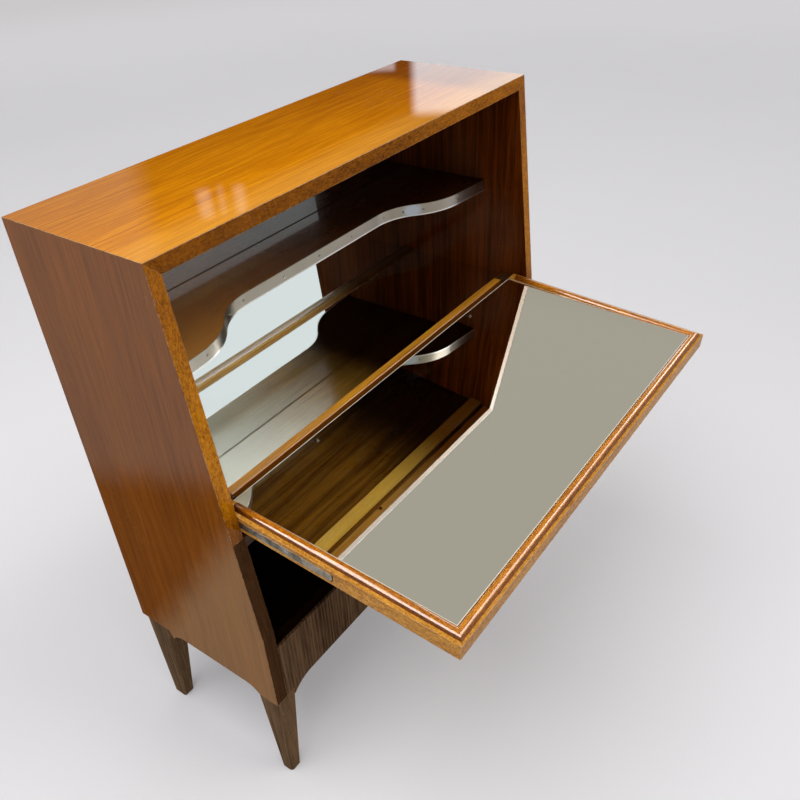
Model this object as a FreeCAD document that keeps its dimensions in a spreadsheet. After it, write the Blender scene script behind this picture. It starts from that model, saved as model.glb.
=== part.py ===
import FreeCAD, Part
import math
import os
import re
import Sketcher

# A bar cabinet on four tapered legs.  The front of the case leans back above a knee.  The upper
# compartment is lined with mirrors, holds a curved shelf with a metal edge, and is closed by a flap
# that folds down on two pivots to make a serving shelf.  The lower compartment is open.
#
# Case frame: X runs to the right, Z up from the floor, and the case stands with its back plane at
# Y = back_line and its front towards -Y.  "Depth" is always measured forward from the back plane.
# Flap frame: its origin is the pivot axis, X runs along the axis, -Y towards the free edge and Z out
# of the inner (mirror) face.

SIZES = [
    # case
    ("case_width", 900.0, "overall width"),
    ("case_height", 999.2, "overall height"),
    ("top_depth", 275.6, "depth of the case at the top"),
    ("knee_depth", 339.6, "depth of the case from the knee down"),
    ("knee_height", 372.0, "height at which the sloping front becomes plumb"),
    ("side_thickness", 22.0, "thickness of the side panels"),
    ("top_thickness", 22.2, "thickness of the top panel"),
    ("skin", 0.8, "veneer that runs over the lippings"),
    ("edging_depth", 16.0, "depth of the upper front lippings"),
    ("stile_width", 24.5, "width of the lower front lippings"),
    ("stile_depth", 5.0, "depth of the lower front lippings"),
    ("side_foot", 219.0, "height of the lower edge of the side panels"),
    ("back_inset", 4.0, "back panel behind the back plane"),
    ("back_thickness", 8.0, "thickness of the back panel"),
    # boards of the case
    ("rail_foot", 554.0, "underside of the board over the lower compartment"),
    ("rail_height", 17.5, "thickness of that board"),
    ("bearer_height", 12.5, "bearers between that board and the bar deck"),
    ("bearer_width", 40.0, "width of a bearer"),
    ("deck_thickness", 19.0, "thickness of the bar deck"),
    ("floor_top", 332.0, "top of the floor board"),
    ("floor_thickness", 21.0, "thickness of the floor board"),
    # apron and ears
    ("apron_foot", 210.0, "lower edge of the apron"),
    ("apron_thickness", 17.0, "thickness of the apron behind its facing"),
    ("ear_foot", 190.0, "lowest point of the apron's ears"),
    ("ear_length", 46.0, "length of the apron's ears"),
    ("side_ear_foot", 200.0, "lowest point of the side panels' ears"),
    ("front_ear_length", 31.0, "length of a side panel's front ear"),
    ("rear_ear_length", 34.0, "length of a side panel's rear ear, to its tip"),
    ("rear_ear_tip", 9.0, "tip of the rear ear from its side towards the leg"),
    ("rear_ear_gap", 6.0, "gap between the rear leg and the rear ear"),
    ("rear_rail_height", 70.0, "height of the rail between the rear legs"),
    ("rear_rail_thickness", 20.0, "thickness of that rail"),
    # legs
    ("leg_width", 42.7, "width of a leg at its shoulder"),
    ("foot_width", 20.4, "width of a leg at the floor"),
    ("front_leg_depth", 41.0, "depth of a front leg at its shoulder"),
    ("front_foot_depth", 20.4, "depth of a front leg at the floor"),
    ("front_leg_top", 205.0, "height of a front leg's shoulder"),
    ("rear_leg_depth", 50.0, "depth of a rear leg at its shoulder"),
    ("rear_foot_depth", 27.0, "depth of a rear leg at the floor"),
    ("rear_leg_inset", 16.0, "back of a rear leg from the back plane, at its shoulder"),
    ("rear_foot_inset", 26.5, "back of a rear leg from the back plane, at the floor"),
    ("leg_corner", 7.0, "rounding of a front leg's outer corner"),
    ("rear_leg_corner", 4.5, "rounding of a rear leg's outer corner"),
    ("foot_chamfer", 2.0, "chamfer round a foot"),
    # mirrors and mouldings
    ("mirror_thickness", 4.0, "silvered glass at the back and in the flap"),
    ("floor_glass", 5.0, "mirror on the bar deck"),
    ("glass_gap", 0.5, "gap at the edges of a mirror"),
    ("nosing_depth", 16.0, "depth of the bar deck's nosing"),
    ("nosing_setback", 32.9, "front of the nosing behind the flap's pivots"),
    ("nosing_lip", 0.8, "nosing above the mirror"),
    ("nosing_round", 2.0, "rounding of the nosing"),
    ("moulding_depth", 16.7, "depth of the moulding at the back of the deck"),
    ("moulding_height", 5.8, "height of that moulding"),
    ("moulding_front", 1.2, "height of its front edge"),
    ("moulding_flat", 2.5, "flat at its back"),
    ("moulding_radius", 24.0, "radius of its rounded top"),
    ("joint_height", 801.2, "lower edge of the upper back mirror"),
    ("joint_gap", 2.0, "gap between the shelf and the lower back mirror"),
    # shelf
    ("shelf_top", 800.0, "top of the shelf"),
    ("shelf_thickness", 22.0, "thickness of the shelf"),
    ("shelf_mid_depth", 130.0, "depth of the shelf in its middle, with its strip"),
    ("shelf_end_run", 136.4, "length of a deep end, to the side panel"),
    ("shelf_step_run", 72.6, "length of a curved step"),
    ("shelf_sweep", 43.2, "angle of the curved steps"),
    ("shelf_flare", 5.3, "angle of the front of the deep ends"),
    ("shelf_hollow_radius", 108.0, "radius of the hollow bend"),
    ("shelf_horn_radius", 140.0, "radius of the outer bend"),
    ("shelf_housing", 6.0, "shelf let into the side panels"),
    ("strip_thickness", 1.5, "metal edge of the shelf"),
    ("strip_screw_straight", 91.0, "first screw of the strip, from the middle"),
    ("strip_screw_hollow", 31.5, "first screw of the hollow bend, inside its corner"),
    ("strip_screw_hollow_end", 9.7, "second screw of the hollow bend, outside its corner"),
    ("strip_screw_horn", 32.1, "first screw of the outer bend, inside its corner"),
    ("strip_screw_horn_end", 42.9, "second screw of the outer bend, outside its corner"),
    ("strip_screw_last", 10.0, "last screw of the strip from the side panel"),
    ("strip_screw_shift", 4.8, "shift of all the strip's screws to the right"),
    ("strip_screw_radius", 1.2, "shank of the strip's screws"),
    ("strip_screw_length", 12.0, "length of that shank"),
    ("strip_head_radius", 2.4, "head of the strip's screws"),
    ("strip_head_height", 0.9, "height of that head"),
    # flap
    ("pivot_height", 596.1, "height of the pivots"),
    ("pivot_setback", 10.8, "pivots behind the flap's outer face"),
    ("pivot_margin", 21.5, "pivots from the flap's lower edge"),
    ("flap_length", 401.6, "flap from its lower to its free edge"),
    ("flap_thickness", 25.8, "thickness of the flap"),
    ("flap_gap", 0.5, "gap between the flap and each side panel"),
    ("flap_droop", 3.7, "slope of the open flap, in degrees"),
    ("bead_width", 15.5, "width of the rounded bead on the flap's rim"),
    ("bead_height", 6.0, "height of that bead"),
    ("side_step", 6.5, "flat outside the bead at the flap's ends"),
    ("front_step", 4.5, "flat outside the bead at the flap's free edge"),
    ("bead_stop", 12.8, "end of the side beads from the flap's lower edge"),
    ("mirror_sink", 1.8, "flap mirror below the rim at the pivots"),
    ("mirror_lean", 0.6, "fall of the flap mirror's bed towards the pivots, in degrees"),
    # pivots and stops
    ("plate_reach", 181.3, "hinge plate from the pivot towards the free edge"),
    ("plate_width", 13.0, "width of the hinge plate"),
    ("plate_thickness", 3.0, "thickness of the hinge plate"),
    ("plate_end_radius", 7.0, "radius of the plate's far end"),
    ("plate_offset", 1.2, "middle of the hinge plate from the pivot"),
    ("tail_reach", 32.7, "heel of the hinge plate behind the pivot"),
    ("plate_screw_first", 69.8, "first plate screw from the flap's lower edge"),
    ("plate_screw_step", 50.0, "distance between the plate screws"),
    ("plate_screw_radius", 1.75, "shank of the plate screws"),
    ("plate_screw_head", 3.6, "head of the plate screws"),
    ("plate_screw_sink", 1.85, "depth of the countersunk head"),
    ("plate_screw_length", 18.0, "length of the plate screws"),
    ("pin_radius", 3.0, "pivot pin"),
    ("pin_clearance", 0.05, "running clearance round the pivot pin"),
    ("pin_length", 10.0, "pin beyond the hinge plate"),
    ("bush_flange", 9.5, "radius of the pivot bush's flange"),
    ("bush_flange_thickness", 2.5, "thickness of the pivot bush's flange"),
    ("bush_hub", 6.0, "radius of the pivot bush's hub"),
    ("bush_depth", 13.0, "length of the pivot bush"),
    ("seat_clearance", 0.05, "clearance of bushes, plates and lock in their seats"),
    ("stop_width", 33.0, "width of a stop block"),
    ("stop_depth", 22.0, "stop block in front of the deck"),
    ("stop_flange", 5.0, "thickness of the stop block over the heel"),
    ("stop_clearance", 0.35, "gap between the open flap's heel and its stop"),
    ("heel_room", 4.0, "free space beside the heel"),
    ("heel_clearance", 1.5, "free space round the heel's swing"),
    ("batten_width", 28.0, "width of the closing batten"),
    ("batten_thickness", 6.0, "thickness of the closing batten"),
    ("batten_clearance", 0.4, "gap between the closed flap and the batten"),
    # lock
    ("bolt_radius", 3.9, "radius of the lock bolt"),
    ("bolt_length", 26.0, "length of the lock bolt"),
    ("bolt_travel", 9.0, "throw of the lock bolt"),
    ("bolt_inset", 0.4, "drawn bolt inside the free edge"),
    ("bolt_clearance", 0.1, "clearance round the lock bolt"),
    ("keep_clearance", 0.8, "clearance of the bolt in its keep"),
    ("keep_spare", 2.0, "depth of the keep beyond the thrown bolt"),
    ("keep_start", 10.0, "start of the keep's boring below the closed flap's free edge"),
    ("lock_width", 46.0, "width of the lock case"),
    ("lock_length", 40.0, "length of the lock case"),
    ("lock_thickness", 12.0, "thickness of the lock case"),
    ("lock_inset", 14.0, "lock case from the free edge"),
    ("key_inset", 34.0, "keyhole from the free edge"),
    ("key_bush_radius", 6.0, "radius of the keyhole bush"),
    ("key_hole_radius", 2.5, "radius of the hole in the keyhole bush"),
    # mirror clips
    ("clip_spacing", 462.0, "distance between the two mirror clips"),
    ("clip_radius", 4.5, "radius of a mirror clip"),
    ("clip_height", 2.5, "height of a mirror clip"),
    ("clip_inset", 11.5, "mirror clips from the flap's lower edge"),
    # drawing
    ("overcut", 1.0, "how far a cutting shape runs past the piece that it cuts"),
]
SCREW_SIDES = 8
HEAD_SIDES = 12
PLATE_SCREWS = 3
SAME_PLACE = 0.01

# Places that follow from the sizes.  Each may use the sizes and the places above it.
PLACES = {
    "half_width": "case_width / 2",
    "inner_half": "half_width - side_thickness",
    "stile_inner": "half_width - stile_width",
    "ceiling": "case_height - top_thickness",
    "front_slope": "(knee_depth - top_depth) / (case_height - knee_height)",
    "front_lean": "atan(front_slope)",
    "lean_cos": "cos(front_lean)",
    "lean_sin": "sin(front_lean)",
    "droop_cos": "cos(flap_droop * 1deg)",
    "droop_sin": "sin(flap_droop * 1deg)",
    "rear_leg_front": "rear_leg_inset + rear_leg_depth",
    "front_leg_back": "knee_depth - front_leg_depth",
    "leg_side": "half_width - leg_width",
    "back_face": "back_inset + back_thickness",
    "glass_face": "back_face + mirror_thickness",
    "rail_top": "rail_foot + rail_height",
    "deck_foot": "rail_top + bearer_height",
    "deck_top": "deck_foot + deck_thickness",
    "glass_top": "deck_top + floor_glass",
    "floor_foot": "floor_top - floor_thickness",
    "shelf_foot": "shelf_top - shelf_thickness",
    "pivot_front": "top_depth + front_slope * (case_height - pivot_height)",
    "pivot_depth": "pivot_front - pivot_setback / lean_cos",
    "flap_half": "inner_half - flap_gap",
    "flap_free": "flap_length - pivot_margin",
    "flap_inner": "flap_thickness - pivot_setback",
    "bed_half": "flap_half - side_step - bead_width",
    "bed_free": "flap_free - front_step - bead_width",
    "bead_radius": "(bead_width * bead_width / 4 + bead_height * bead_height) / (2 * bead_height)",
    "overall_depth": "pivot_depth + flap_free * droop_cos + flap_inner * droop_sin",
    "back_line": "overall_depth / 2",
    "deck_depth": "pivot_depth - nosing_setback - nosing_depth",
    "shelf_horn": "inner_half - shelf_end_run",
    "shelf_mid_half": "shelf_horn - shelf_step_run",
    "horn_depth": "shelf_mid_depth + shelf_step_run * tan(shelf_sweep * 1deg)",
    "shelf_end_depth": "horn_depth + (inner_half - shelf_horn) * tan(shelf_flare * 1deg)",
    "hollow_start": "shelf_mid_half - shelf_hollow_radius * tan(shelf_sweep * 0.5deg)",
    "horn_turn": "(shelf_sweep - shelf_flare) * 1deg",
    "horn_finish": "shelf_horn + shelf_horn_radius * tan(horn_turn / 2) * cos(shelf_flare * 1deg)",
    "horn_centre": "horn_finish + shelf_horn_radius * sin(shelf_flare * 1deg)",
    "horn_top": "horn_depth + shelf_horn_radius * tan(horn_turn / 2) * sin(shelf_flare * 1deg)",
    "horn_middle": "horn_top - shelf_horn_radius * cos(shelf_flare * 1deg)",
    "stop_foot": "deck_top",
    "tail_rise": "(stop_foot - stop_clearance - pivot_height - tail_reach * droop_sin) / droop_cos",
    "heel_radius": "sqrt(tail_reach * tail_reach + (plate_width / 2 + plate_offset) ^ 2)",
    "lock_level": "flap_thickness / 2 - pivot_setback",
}

doc = FreeCAD.newDocument("bar_cabinet")
sheet = doc.addObject("Spreadsheet::Sheet", "sizes")
for row, (alias, number, meaning) in enumerate(SIZES, start=1):
    sheet.set(f"A{row}", meaning)
    sheet.set(f"B{row}", str(number))
    sheet.setAlias(f"B{row}", alias)
doc.recompute()

ALIASES = {alias for alias, number, meaning in SIZES}
WORD = re.compile(r"[a-z_]+[a-z0-9_]*")
NODES = []


def formula(text):
    """The expression for a text that names sizes and places."""

    def swap(match):
        word = match.group(0)
        if word in ALIASES:
            return f"sizes.{word}"
        if word in PLACES:
            return f"({formula(PLACES[word])})"
        return word

    return WORD.sub(swap, text)


def value(text):
    """The present number of such a text."""
    result = sheet.evalExpression(formula(text))
    return float(getattr(result, "Value", result))


def front_at(height):
    """Depth of the sloping front face at a height."""
    return f"(top_depth + front_slope * (case_height - ({height})))"


def minus(text):
    return f"-({text})"


# ---- drawing helpers -----------------------------------------------------------------------------

def new_body(name):
    return doc.addObject("PartDesign::Body", name)


def origin_plane(body, role):
    return next(plane for plane in body.Origin.OriginFeatures if plane.Role == role)


def outline(body, name, role, start, points, arcs=None):
    """A closed sketch through points; arcs maps a side's number to (radius, which way it bulges)."""
    arcs = arcs or {}
    sketch = body.newObject("Sketcher::SketchObject", name)
    sketch.AttachmentSupport = [(origin_plane(body, role), "")]
    sketch.MapMode = "FlatFace"
    sketch.setExpression("AttachmentOffset.Base.z", formula(start))
    corners = [FreeCAD.Vector(value(x), value(y), 0) for x, y in points]
    ends = []
    for side, corner in enumerate(corners):
        follower = corners[(side + 1) % len(corners)]
        if side in arcs:
            radius, bulge = arcs[side]
            ends.append(add_arc(sketch, corner, follower, value(radius), bulge))
        else:
            sketch.addGeometry(Part.LineSegment(corner, follower), False)
            ends.append((1, 2))
    for side in range(len(corners)):
        follower = (side + 1) % len(corners)
        sketch.addConstraint(
            Sketcher.Constraint("Coincident", side, ends[side][1], follower, ends[follower][0]))
    for side, (x, y) in enumerate(points):
        fix(sketch, "DistanceX", side, ends[side][0], x)
        fix(sketch, "DistanceY", side, ends[side][0], y)
    for side, (radius, bulge) in arcs.items():
        number = sketch.addConstraint(Sketcher.Constraint("Radius", side, value(radius)))
        sketch.setExpression(f"Constraints[{number}]", formula(radius))
    return sketch


def add_arc(sketch, corner, follower, radius, bulge):
    """An arc between two corners; bulge is 1 to the left of the way it runs and -1 to the right."""
    chord = follower - corner
    half = chord.Length / 2
    left = FreeCAD.Vector(-chord.y, chord.x, 0).normalize()
    centre = (corner + follower) / 2 - left * bulge * math.sqrt(radius ** 2 - half ** 2)
    start = math.atan2(corner.y - centre.y, corner.x - centre.x)
    finish = math.atan2(follower.y - centre.y, follower.x - centre.x)
    circle = Part.Circle(centre, FreeCAD.Vector(0, 0, 1), radius)
    if bulge > 0:
        sketch.addGeometry(Part.ArcOfCircle(circle, finish, start), False)
        return (2, 1)
    sketch.addGeometry(Part.ArcOfCircle(circle, start, finish), False)
    return (1, 2)


def fix(sketch, kind, side, end, place):
    number = sketch.addConstraint(Sketcher.Constraint(kind, -1, 1, side, end, value(place)))
    sketch.setExpression(f"Constraints[{number}]", formula(place))


def add_prism(body, name, role, start, finish, points, arcs=None):
    """Material between two distances from an origin plane, along the plane's normal."""
    sketch = outline(body, f"{name}_sketch", role, start, points, arcs)
    pad = body.newObject("PartDesign::Pad", name)
    pad.Profile = sketch
    pad.setExpression("Length", formula(f"({finish}) - ({start})"))
    return pad


def cut_prism(body, name, role, start, finish, points, arcs=None):
    """A pocket between two distances from an origin plane."""
    sketch = outline(body, f"{name}_sketch", role, start, points, arcs)
    pocket = body.newObject("PartDesign::Pocket", name)
    pocket.Profile = sketch
    pocket.Reversed = True
    pocket.setExpression("Length", formula(f"({finish}) - ({start})"))
    return pocket


def cut_round(body, name, role, start, finish, centre, radius):
    """A round pocket between two distances from an origin plane."""
    sketch = body.newObject("Sketcher::SketchObject", f"{name}_sketch")
    sketch.AttachmentSupport = [(origin_plane(body, role), "")]
    sketch.MapMode = "FlatFace"
    sketch.setExpression("AttachmentOffset.Base.z", formula(start))
    ring(sketch, centre, radius)
    pocket = body.newObject("PartDesign::Pocket", name)
    pocket.Profile = sketch
    pocket.Reversed = True
    pocket.setExpression("Length", formula(f"({finish}) - ({start})"))
    return pocket


def add_round(body, name, role, start, finish, centre, radius):
    """A round boss between two distances from an origin plane."""
    sketch = body.newObject("Sketcher::SketchObject", f"{name}_sketch")
    sketch.AttachmentSupport = [(origin_plane(body, role), "")]
    sketch.MapMode = "FlatFace"
    sketch.setExpression("AttachmentOffset.Base.z", formula(start))
    ring(sketch, centre, radius)
    pad = body.newObject("PartDesign::Pad", name)
    pad.Profile = sketch
    pad.setExpression("Length", formula(f"({finish}) - ({start})"))
    return pad


def ring(sketch, centre, radius):
    middle = FreeCAD.Vector(value(centre[0]), value(centre[1]), 0)
    up = FreeCAD.Vector(0, 0, 1)
    side = sketch.addGeometry(Part.Circle(middle, up, value(radius)), False)
    fix(sketch, "DistanceX", side, 3, centre[0])
    fix(sketch, "DistanceY", side, 3, centre[1])
    number = sketch.addConstraint(Sketcher.Constraint("Radius", side, value(radius)))
    sketch.setExpression(f"Constraints[{number}]", formula(radius))


def round_edge(body, name, foot, top, radius):
    """Rounds the edge of a body that runs from one place to another."""
    doc.recompute()
    ends = [FreeCAD.Vector(*[value(number) for number in place]) for place in (foot, top)]
    names = []
    for number, edge in enumerate(body.Shape.Edges, start=1):
        corners = [vertex.Point for vertex in edge.Vertexes]
        if all(min(corner.distanceToPoint(end) for corner in corners) < SAME_PLACE for end in ends):
            names.append(f"Edge{number}")
    base = body.Tip
    fillet = body.newObject("PartDesign::Fillet", name)
    fillet.Base = (base, names)
    fillet.setExpression("Radius", formula(radius))
    return fillet


def chamfer_foot(body, name, size):
    """Chamfers the edges round a body's underside."""
    doc.recompute()
    names = []
    for number, face in enumerate(body.Shape.Faces, start=1):
        if all(abs(vertex.Point.z) < SAME_PLACE for vertex in face.Vertexes):
            names.append(f"Face{number}")
    base = body.Tip
    chamfer = body.newObject("PartDesign::Chamfer", name)
    chamfer.Base = (base, names)
    chamfer.setExpression("Size", formula(size))
    return chamfer


def rectangle(low_x, low_y, high_x, high_y):
    return [(low_x, low_y), (high_x, low_y), (high_x, high_y), (low_x, high_y)]


def side_view(points):
    """Corners given as (depth, height), drawn on the YZ plane."""
    return [(minus(depth), height) for depth, height in points]


def keep_in_case(shape, label):
    """Names a piece of the case and stands it on the back line."""
    shape.Label = label
    shape.setExpression("Placement.Base.y", formula("back_line"))
    NODES.append(shape)
    return shape


def keep_on_flap(shape, label):
    """Names a piece of the flap and hangs it on the pivot axis, with the flap open."""
    shape.Label = label
    shape.Placement = FreeCAD.Placement(FreeCAD.Vector(), FreeCAD.Rotation(FreeCAD.Vector(1, 0, 0), 1))
    shape.setExpression("Placement.Rotation.Angle", formula("flap_droop"))
    shape.setExpression("Placement.Base.y", formula("back_line - pivot_depth"))
    shape.setExpression("Placement.Base.z", formula("pivot_height"))
    NODES.append(shape)
    return shape


def boolean(kind, name, base, tool):
    result = doc.addObject(kind, name)
    result.Base = base
    result.Tool = tool
    return result


# ---- case ----------------------------------------------------------------------------------------

def board(label, low_x, high_x, points, arcs=None):
    """A board drawn in side view and extruded from left to right."""
    body = new_body(label)
    add_prism(body, f"{label}_pad", "YZ_Plane", low_x, high_x, side_view(points), arcs)
    return body


def box_points(near, far, foot, top):
    return [(near, foot), (far, foot), (far, top), (near, top)]


def sloping(near, foot, top, inset):
    """Side view of a board whose front edge follows the sloping front at a distance."""
    return [(near, foot), (f"{front_at(foot)} - {inset}", foot), (f"{front_at(top)} - {inset}", top),
            (near, top)]


def make_top_panel():
    body = new_body("top_blank")
    outside = [("-half_width", "case_height"), ("-inner_half", "ceiling"), ("inner_half", "ceiling"),
               ("half_width", "case_height")]
    add_prism(body, "top_slab", "XZ_Plane", "0", front_at("ceiling"), outside)
    # the front edge leans back, and the lipping lies under the veneer
    wedge = [(front_at("case_height"), "case_height"), (front_at("ceiling"), "ceiling"),
             ("knee_depth", "ceiling"), ("knee_depth", "case_height")]
    cut_prism(body, "top_slope", "YZ_Plane", "-half_width", "half_width", side_view(wedge))
    cut_prism(body, "top_rebate", "YZ_Plane", "-half_width", "half_width",
              side_view(sloping_band("ceiling", "case_height - skin")))
    return body


def sloping_band(foot, top):
    """Side view of an upper lipping."""
    return [(f"{front_at(foot)} - edging_depth", foot), (front_at(foot), foot), (front_at(top), top),
            (f"{front_at(top)} - edging_depth", top)]


def front_band(depth, foot, top):
    """Side view of a lipping: a band behind the sloping and then plumb front."""
    return [(f"{front_at(top)} - {depth}", top), (front_at(top), top), ("knee_depth", "knee_height"),
            ("knee_depth", foot), (f"knee_depth - {depth}", foot), (f"knee_depth - {depth}", "knee_height")]


def side_profile():
    """Side view of a side panel, with the ears that reach down beside the legs."""
    ear = "rear_leg_front + rear_ear_gap"
    return [
        ("0", "side_foot"),
        ("0", "case_height"),
        ("top_depth", "case_height"),
        ("knee_depth", "knee_height"),
        ("knee_depth", "front_leg_top"),
        ("front_leg_back", "front_leg_top"),
        ("front_leg_back - front_ear_length", "side_foot"),
        (f"{ear} + rear_ear_tip + rear_ear_length", "side_foot"),
        (f"{ear} + rear_ear_tip", "side_ear_foot"),
        (ear, "side_foot"),
    ]


def ear_radius(length, height):
    """Radius of an ear whose curve leaves the lower edge without a kink."""
    return f"(({length}) ^ 2 + ({height}) ^ 2) / (2 * ({height}))"


def make_side_panel(side):
    sign = "-" if side == "left" else ""
    low = "-half_width" if side == "left" else "inner_half"
    high = "-inner_half" if side == "left" else "half_width"
    body = new_body(f"side_panel_{side}")
    arcs = {5: (ear_radius("front_ear_length", "side_foot - front_leg_top"), 1),
            7: (ear_radius("rear_ear_length", "side_foot - side_ear_foot"), 1)}
    add_prism(body, f"{side}_slab", "YZ_Plane", low, high, side_view(side_profile()), arcs)
    # mitre with the top
    mitre = [(f"{sign}half_width", "case_height"), (f"{sign}inner_half", "ceiling"),
             (f"{sign}(inner_half - side_thickness)", "case_height")]
    cut_prism(body, f"{side}_mitre", "XZ_Plane", "0", "knee_depth", mitre)
    # seat of the lippings, under the veneer
    low_seat = "-half_width + skin" if side == "left" else "inner_half"
    high_seat = "-inner_half" if side == "left" else "half_width - skin"
    cut_prism(body, f"{side}_upper_seat", "YZ_Plane", low_seat, high_seat,
              side_view(sloping_band("rail_top", "case_height")))
    lower = front_band("stile_depth", "front_leg_top", "rail_top")
    cut_prism(body, f"{side}_lower_seat", "YZ_Plane", low_seat, high_seat, side_view(lower))
    # housing of the shelf
    low_slot = "-inner_half - shelf_housing" if side == "left" else "inner_half"
    high_slot = "-inner_half" if side == "left" else "inner_half + shelf_housing"
    slot = box_points("back_face", "shelf_end_depth - strip_thickness", "shelf_foot", "shelf_top")
    cut_prism(body, f"{side}_housing", "YZ_Plane", low_slot, high_slot, side_view(slot))
    cut_pivot_seat(body, side)
    return keep_in_case(body, f"side_panel_{side}")


def cut_pivot_seat(body, side):
    """The seat of a pivot bush in the inner face of the side."""
    pivot = (minus("pivot_depth"), "pivot_height")
    for name, depth, radius in (("flange", "bush_flange_thickness", "bush_flange"),
                                ("hub", "bush_depth", "bush_hub")):
        low = f"-inner_half - {depth}" if side == "left" else "inner_half"
        high = "-inner_half" if side == "left" else f"inner_half + {depth}"
        cut_round(body, f"{body.Name}_{name}_seat", "YZ_Plane", low, high, pivot,
                  f"{radius} + seat_clearance")


def make_edging(side):
    """Upper side lipping, mitred into the top lipping."""
    sign = "-" if side == "left" else ""
    low = "-half_width + skin" if side == "left" else "inner_half"
    high = "-inner_half" if side == "left" else "half_width - skin"
    body = new_body(f"edging_{side}")
    add_prism(body, f"edging_{side}_band", "YZ_Plane", low, high,
              side_view(sloping_band("rail_top", "case_height")))
    mitre = [(f"{sign}(half_width + skin)", "case_height + skin"), (f"{sign}inner_half", "ceiling"),
             (f"{sign}(inner_half - skin)", "ceiling"), (f"{sign}(inner_half - skin)", "case_height + skin")]
    cut_prism(body, f"edging_{side}_mitre", "XZ_Plane", "0", "knee_depth", mitre)
    cut_pivot_seat(body, side)
    return keep_in_case(body, f"edging_{side}")


def make_top_edging():
    body = new_body("top_edging_blank")
    add_prism(body, "top_edging_band", "YZ_Plane", "-half_width + skin", "half_width - skin",
              side_view(sloping_band("ceiling", "case_height - skin")))
    for sign, side in (("-", "left"), ("", "right")):
        mitre = [(f"{sign}(half_width + skin)", "case_height + skin"), (f"{sign}inner_half", "ceiling"),
                 (f"{sign}inner_half", "ceiling - overcut"), (f"{sign}(half_width + skin)", "ceiling - overcut")]
        cut_prism(body, f"top_edging_{side}_mitre", "XZ_Plane", "0", "knee_depth", mitre)
    return body


def make_stile(side):
    """Lower side lipping, bent at the knee, from the leg's shoulder to the board under the bar."""
    low = "-half_width + skin" if side == "left" else "stile_inner"
    high = "-stile_inner" if side == "left" else "half_width - skin"
    body = board(f"stile_{side}", low, high, front_band("stile_depth", "front_leg_top", "rail_top"))
    return keep_in_case(body, f"stile_{side}")


def make_back_panel():
    body = board("back_panel", "-inner_half", "inner_half",
                 box_points("back_inset", "back_face", "floor_foot - rear_rail_height", "ceiling"))
    return keep_in_case(body, "back_panel")


def make_niche_top():
    """Board over the lower compartment, notched where the flap's heels swing down."""
    body = board("niche_top", "-inner_half", "inner_half",
                 sloping("back_face", "rail_foot", "rail_top", "stile_depth"))
    inner = "inner_half - flap_gap - plate_thickness - heel_room"
    for side, low, high in (("left", "-inner_half", minus(inner)), ("right", inner, "inner_half")):
        notch = box_points("pivot_depth - heel_radius - heel_clearance", "pivot_front",
                           "pivot_height - heel_radius - heel_clearance", "rail_top")
        cut_prism(body, f"heel_notch_{side}", "YZ_Plane", low, high, side_view(notch))
    return keep_in_case(body, "niche_top")


def make_mid_rail():
    body = board("mid_rail", "-stile_inner", "stile_inner",
                 [(f"{front_at('rail_foot')} - stile_depth", "rail_foot"), (front_at("rail_foot"), "rail_foot"),
                  (front_at("rail_top"), "rail_top"), (f"{front_at('rail_top')} - stile_depth", "rail_top")])
    return keep_in_case(body, "mid_rail")


def make_deck():
    deck = board("bar_deck", "-inner_half", "inner_half",
                 box_points("back_face", "deck_depth", "deck_foot", "deck_top"))
    keep_in_case(deck, "bar_deck")
    bearers = []
    for number, near in enumerate(("back_face", "(back_face + deck_depth - bearer_width) / 2",
                                   "deck_depth - bearer_width")):
        bearer = doc.addObject("Part::Box", f"bearer_{number}")
        bearer.setExpression("Length", formula("2 * inner_half"))
        bearer.setExpression("Width", formula("bearer_width"))
        bearer.setExpression("Height", formula("bearer_height"))
        bearer.setExpression("Placement.Base.x", formula("-inner_half"))
        bearer.setExpression("Placement.Base.y", formula(f"-({near}) - bearer_width"))
        bearer.setExpression("Placement.Base.z", formula("rail_top"))
        bearers.append(bearer)
    group = doc.addObject("Part::Compound", "deck_bearers")
    group.Links = bearers
    keep_in_case(group, "deck_bearers")


def make_niche_floor():
    body = board("niche_floor", "-inner_half", "inner_half",
                 box_points("back_face", "knee_depth - stile_depth - apron_thickness", "floor_foot", "floor_top"))
    return keep_in_case(body, "niche_floor")


def apron_outline(half):
    """Front view of the apron, with an ear at each end that runs down beside the leg."""
    right = [
        (half, "floor_top"),
        (half, "front_leg_top"),
        ("leg_side", "front_leg_top"),
        ("leg_side", "ear_foot"),
        ("leg_side - ear_length", "apron_foot"),
    ]
    left = [(minus(x), z) for x, z in reversed(right)]
    return right + left


def make_apron():
    radius = ear_radius("ear_length", "apron_foot - ear_foot")
    arcs = {3: (radius, -1), 5: (radius, -1)}
    face = "knee_depth - stile_depth"
    body = new_body("apron")
    add_prism(body, "apron_slab", "XZ_Plane", f"{face} - apron_thickness", face,
              apron_outline("inner_half"), arcs)
    keep_in_case(body, "apron")
    facing = new_body("apron_facing")
    add_prism(facing, "apron_veneer", "XZ_Plane", face, "knee_depth", apron_outline("stile_inner"), arcs)
    keep_in_case(facing, "apron_facing")


def make_rear_rail():
    body = board("rear_rail", "-leg_side", "leg_side",
                 box_points("back_face", "back_face + rear_rail_thickness",
                            "floor_foot - rear_rail_height", "floor_foot"))
    return keep_in_case(body, "rear_rail")


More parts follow.
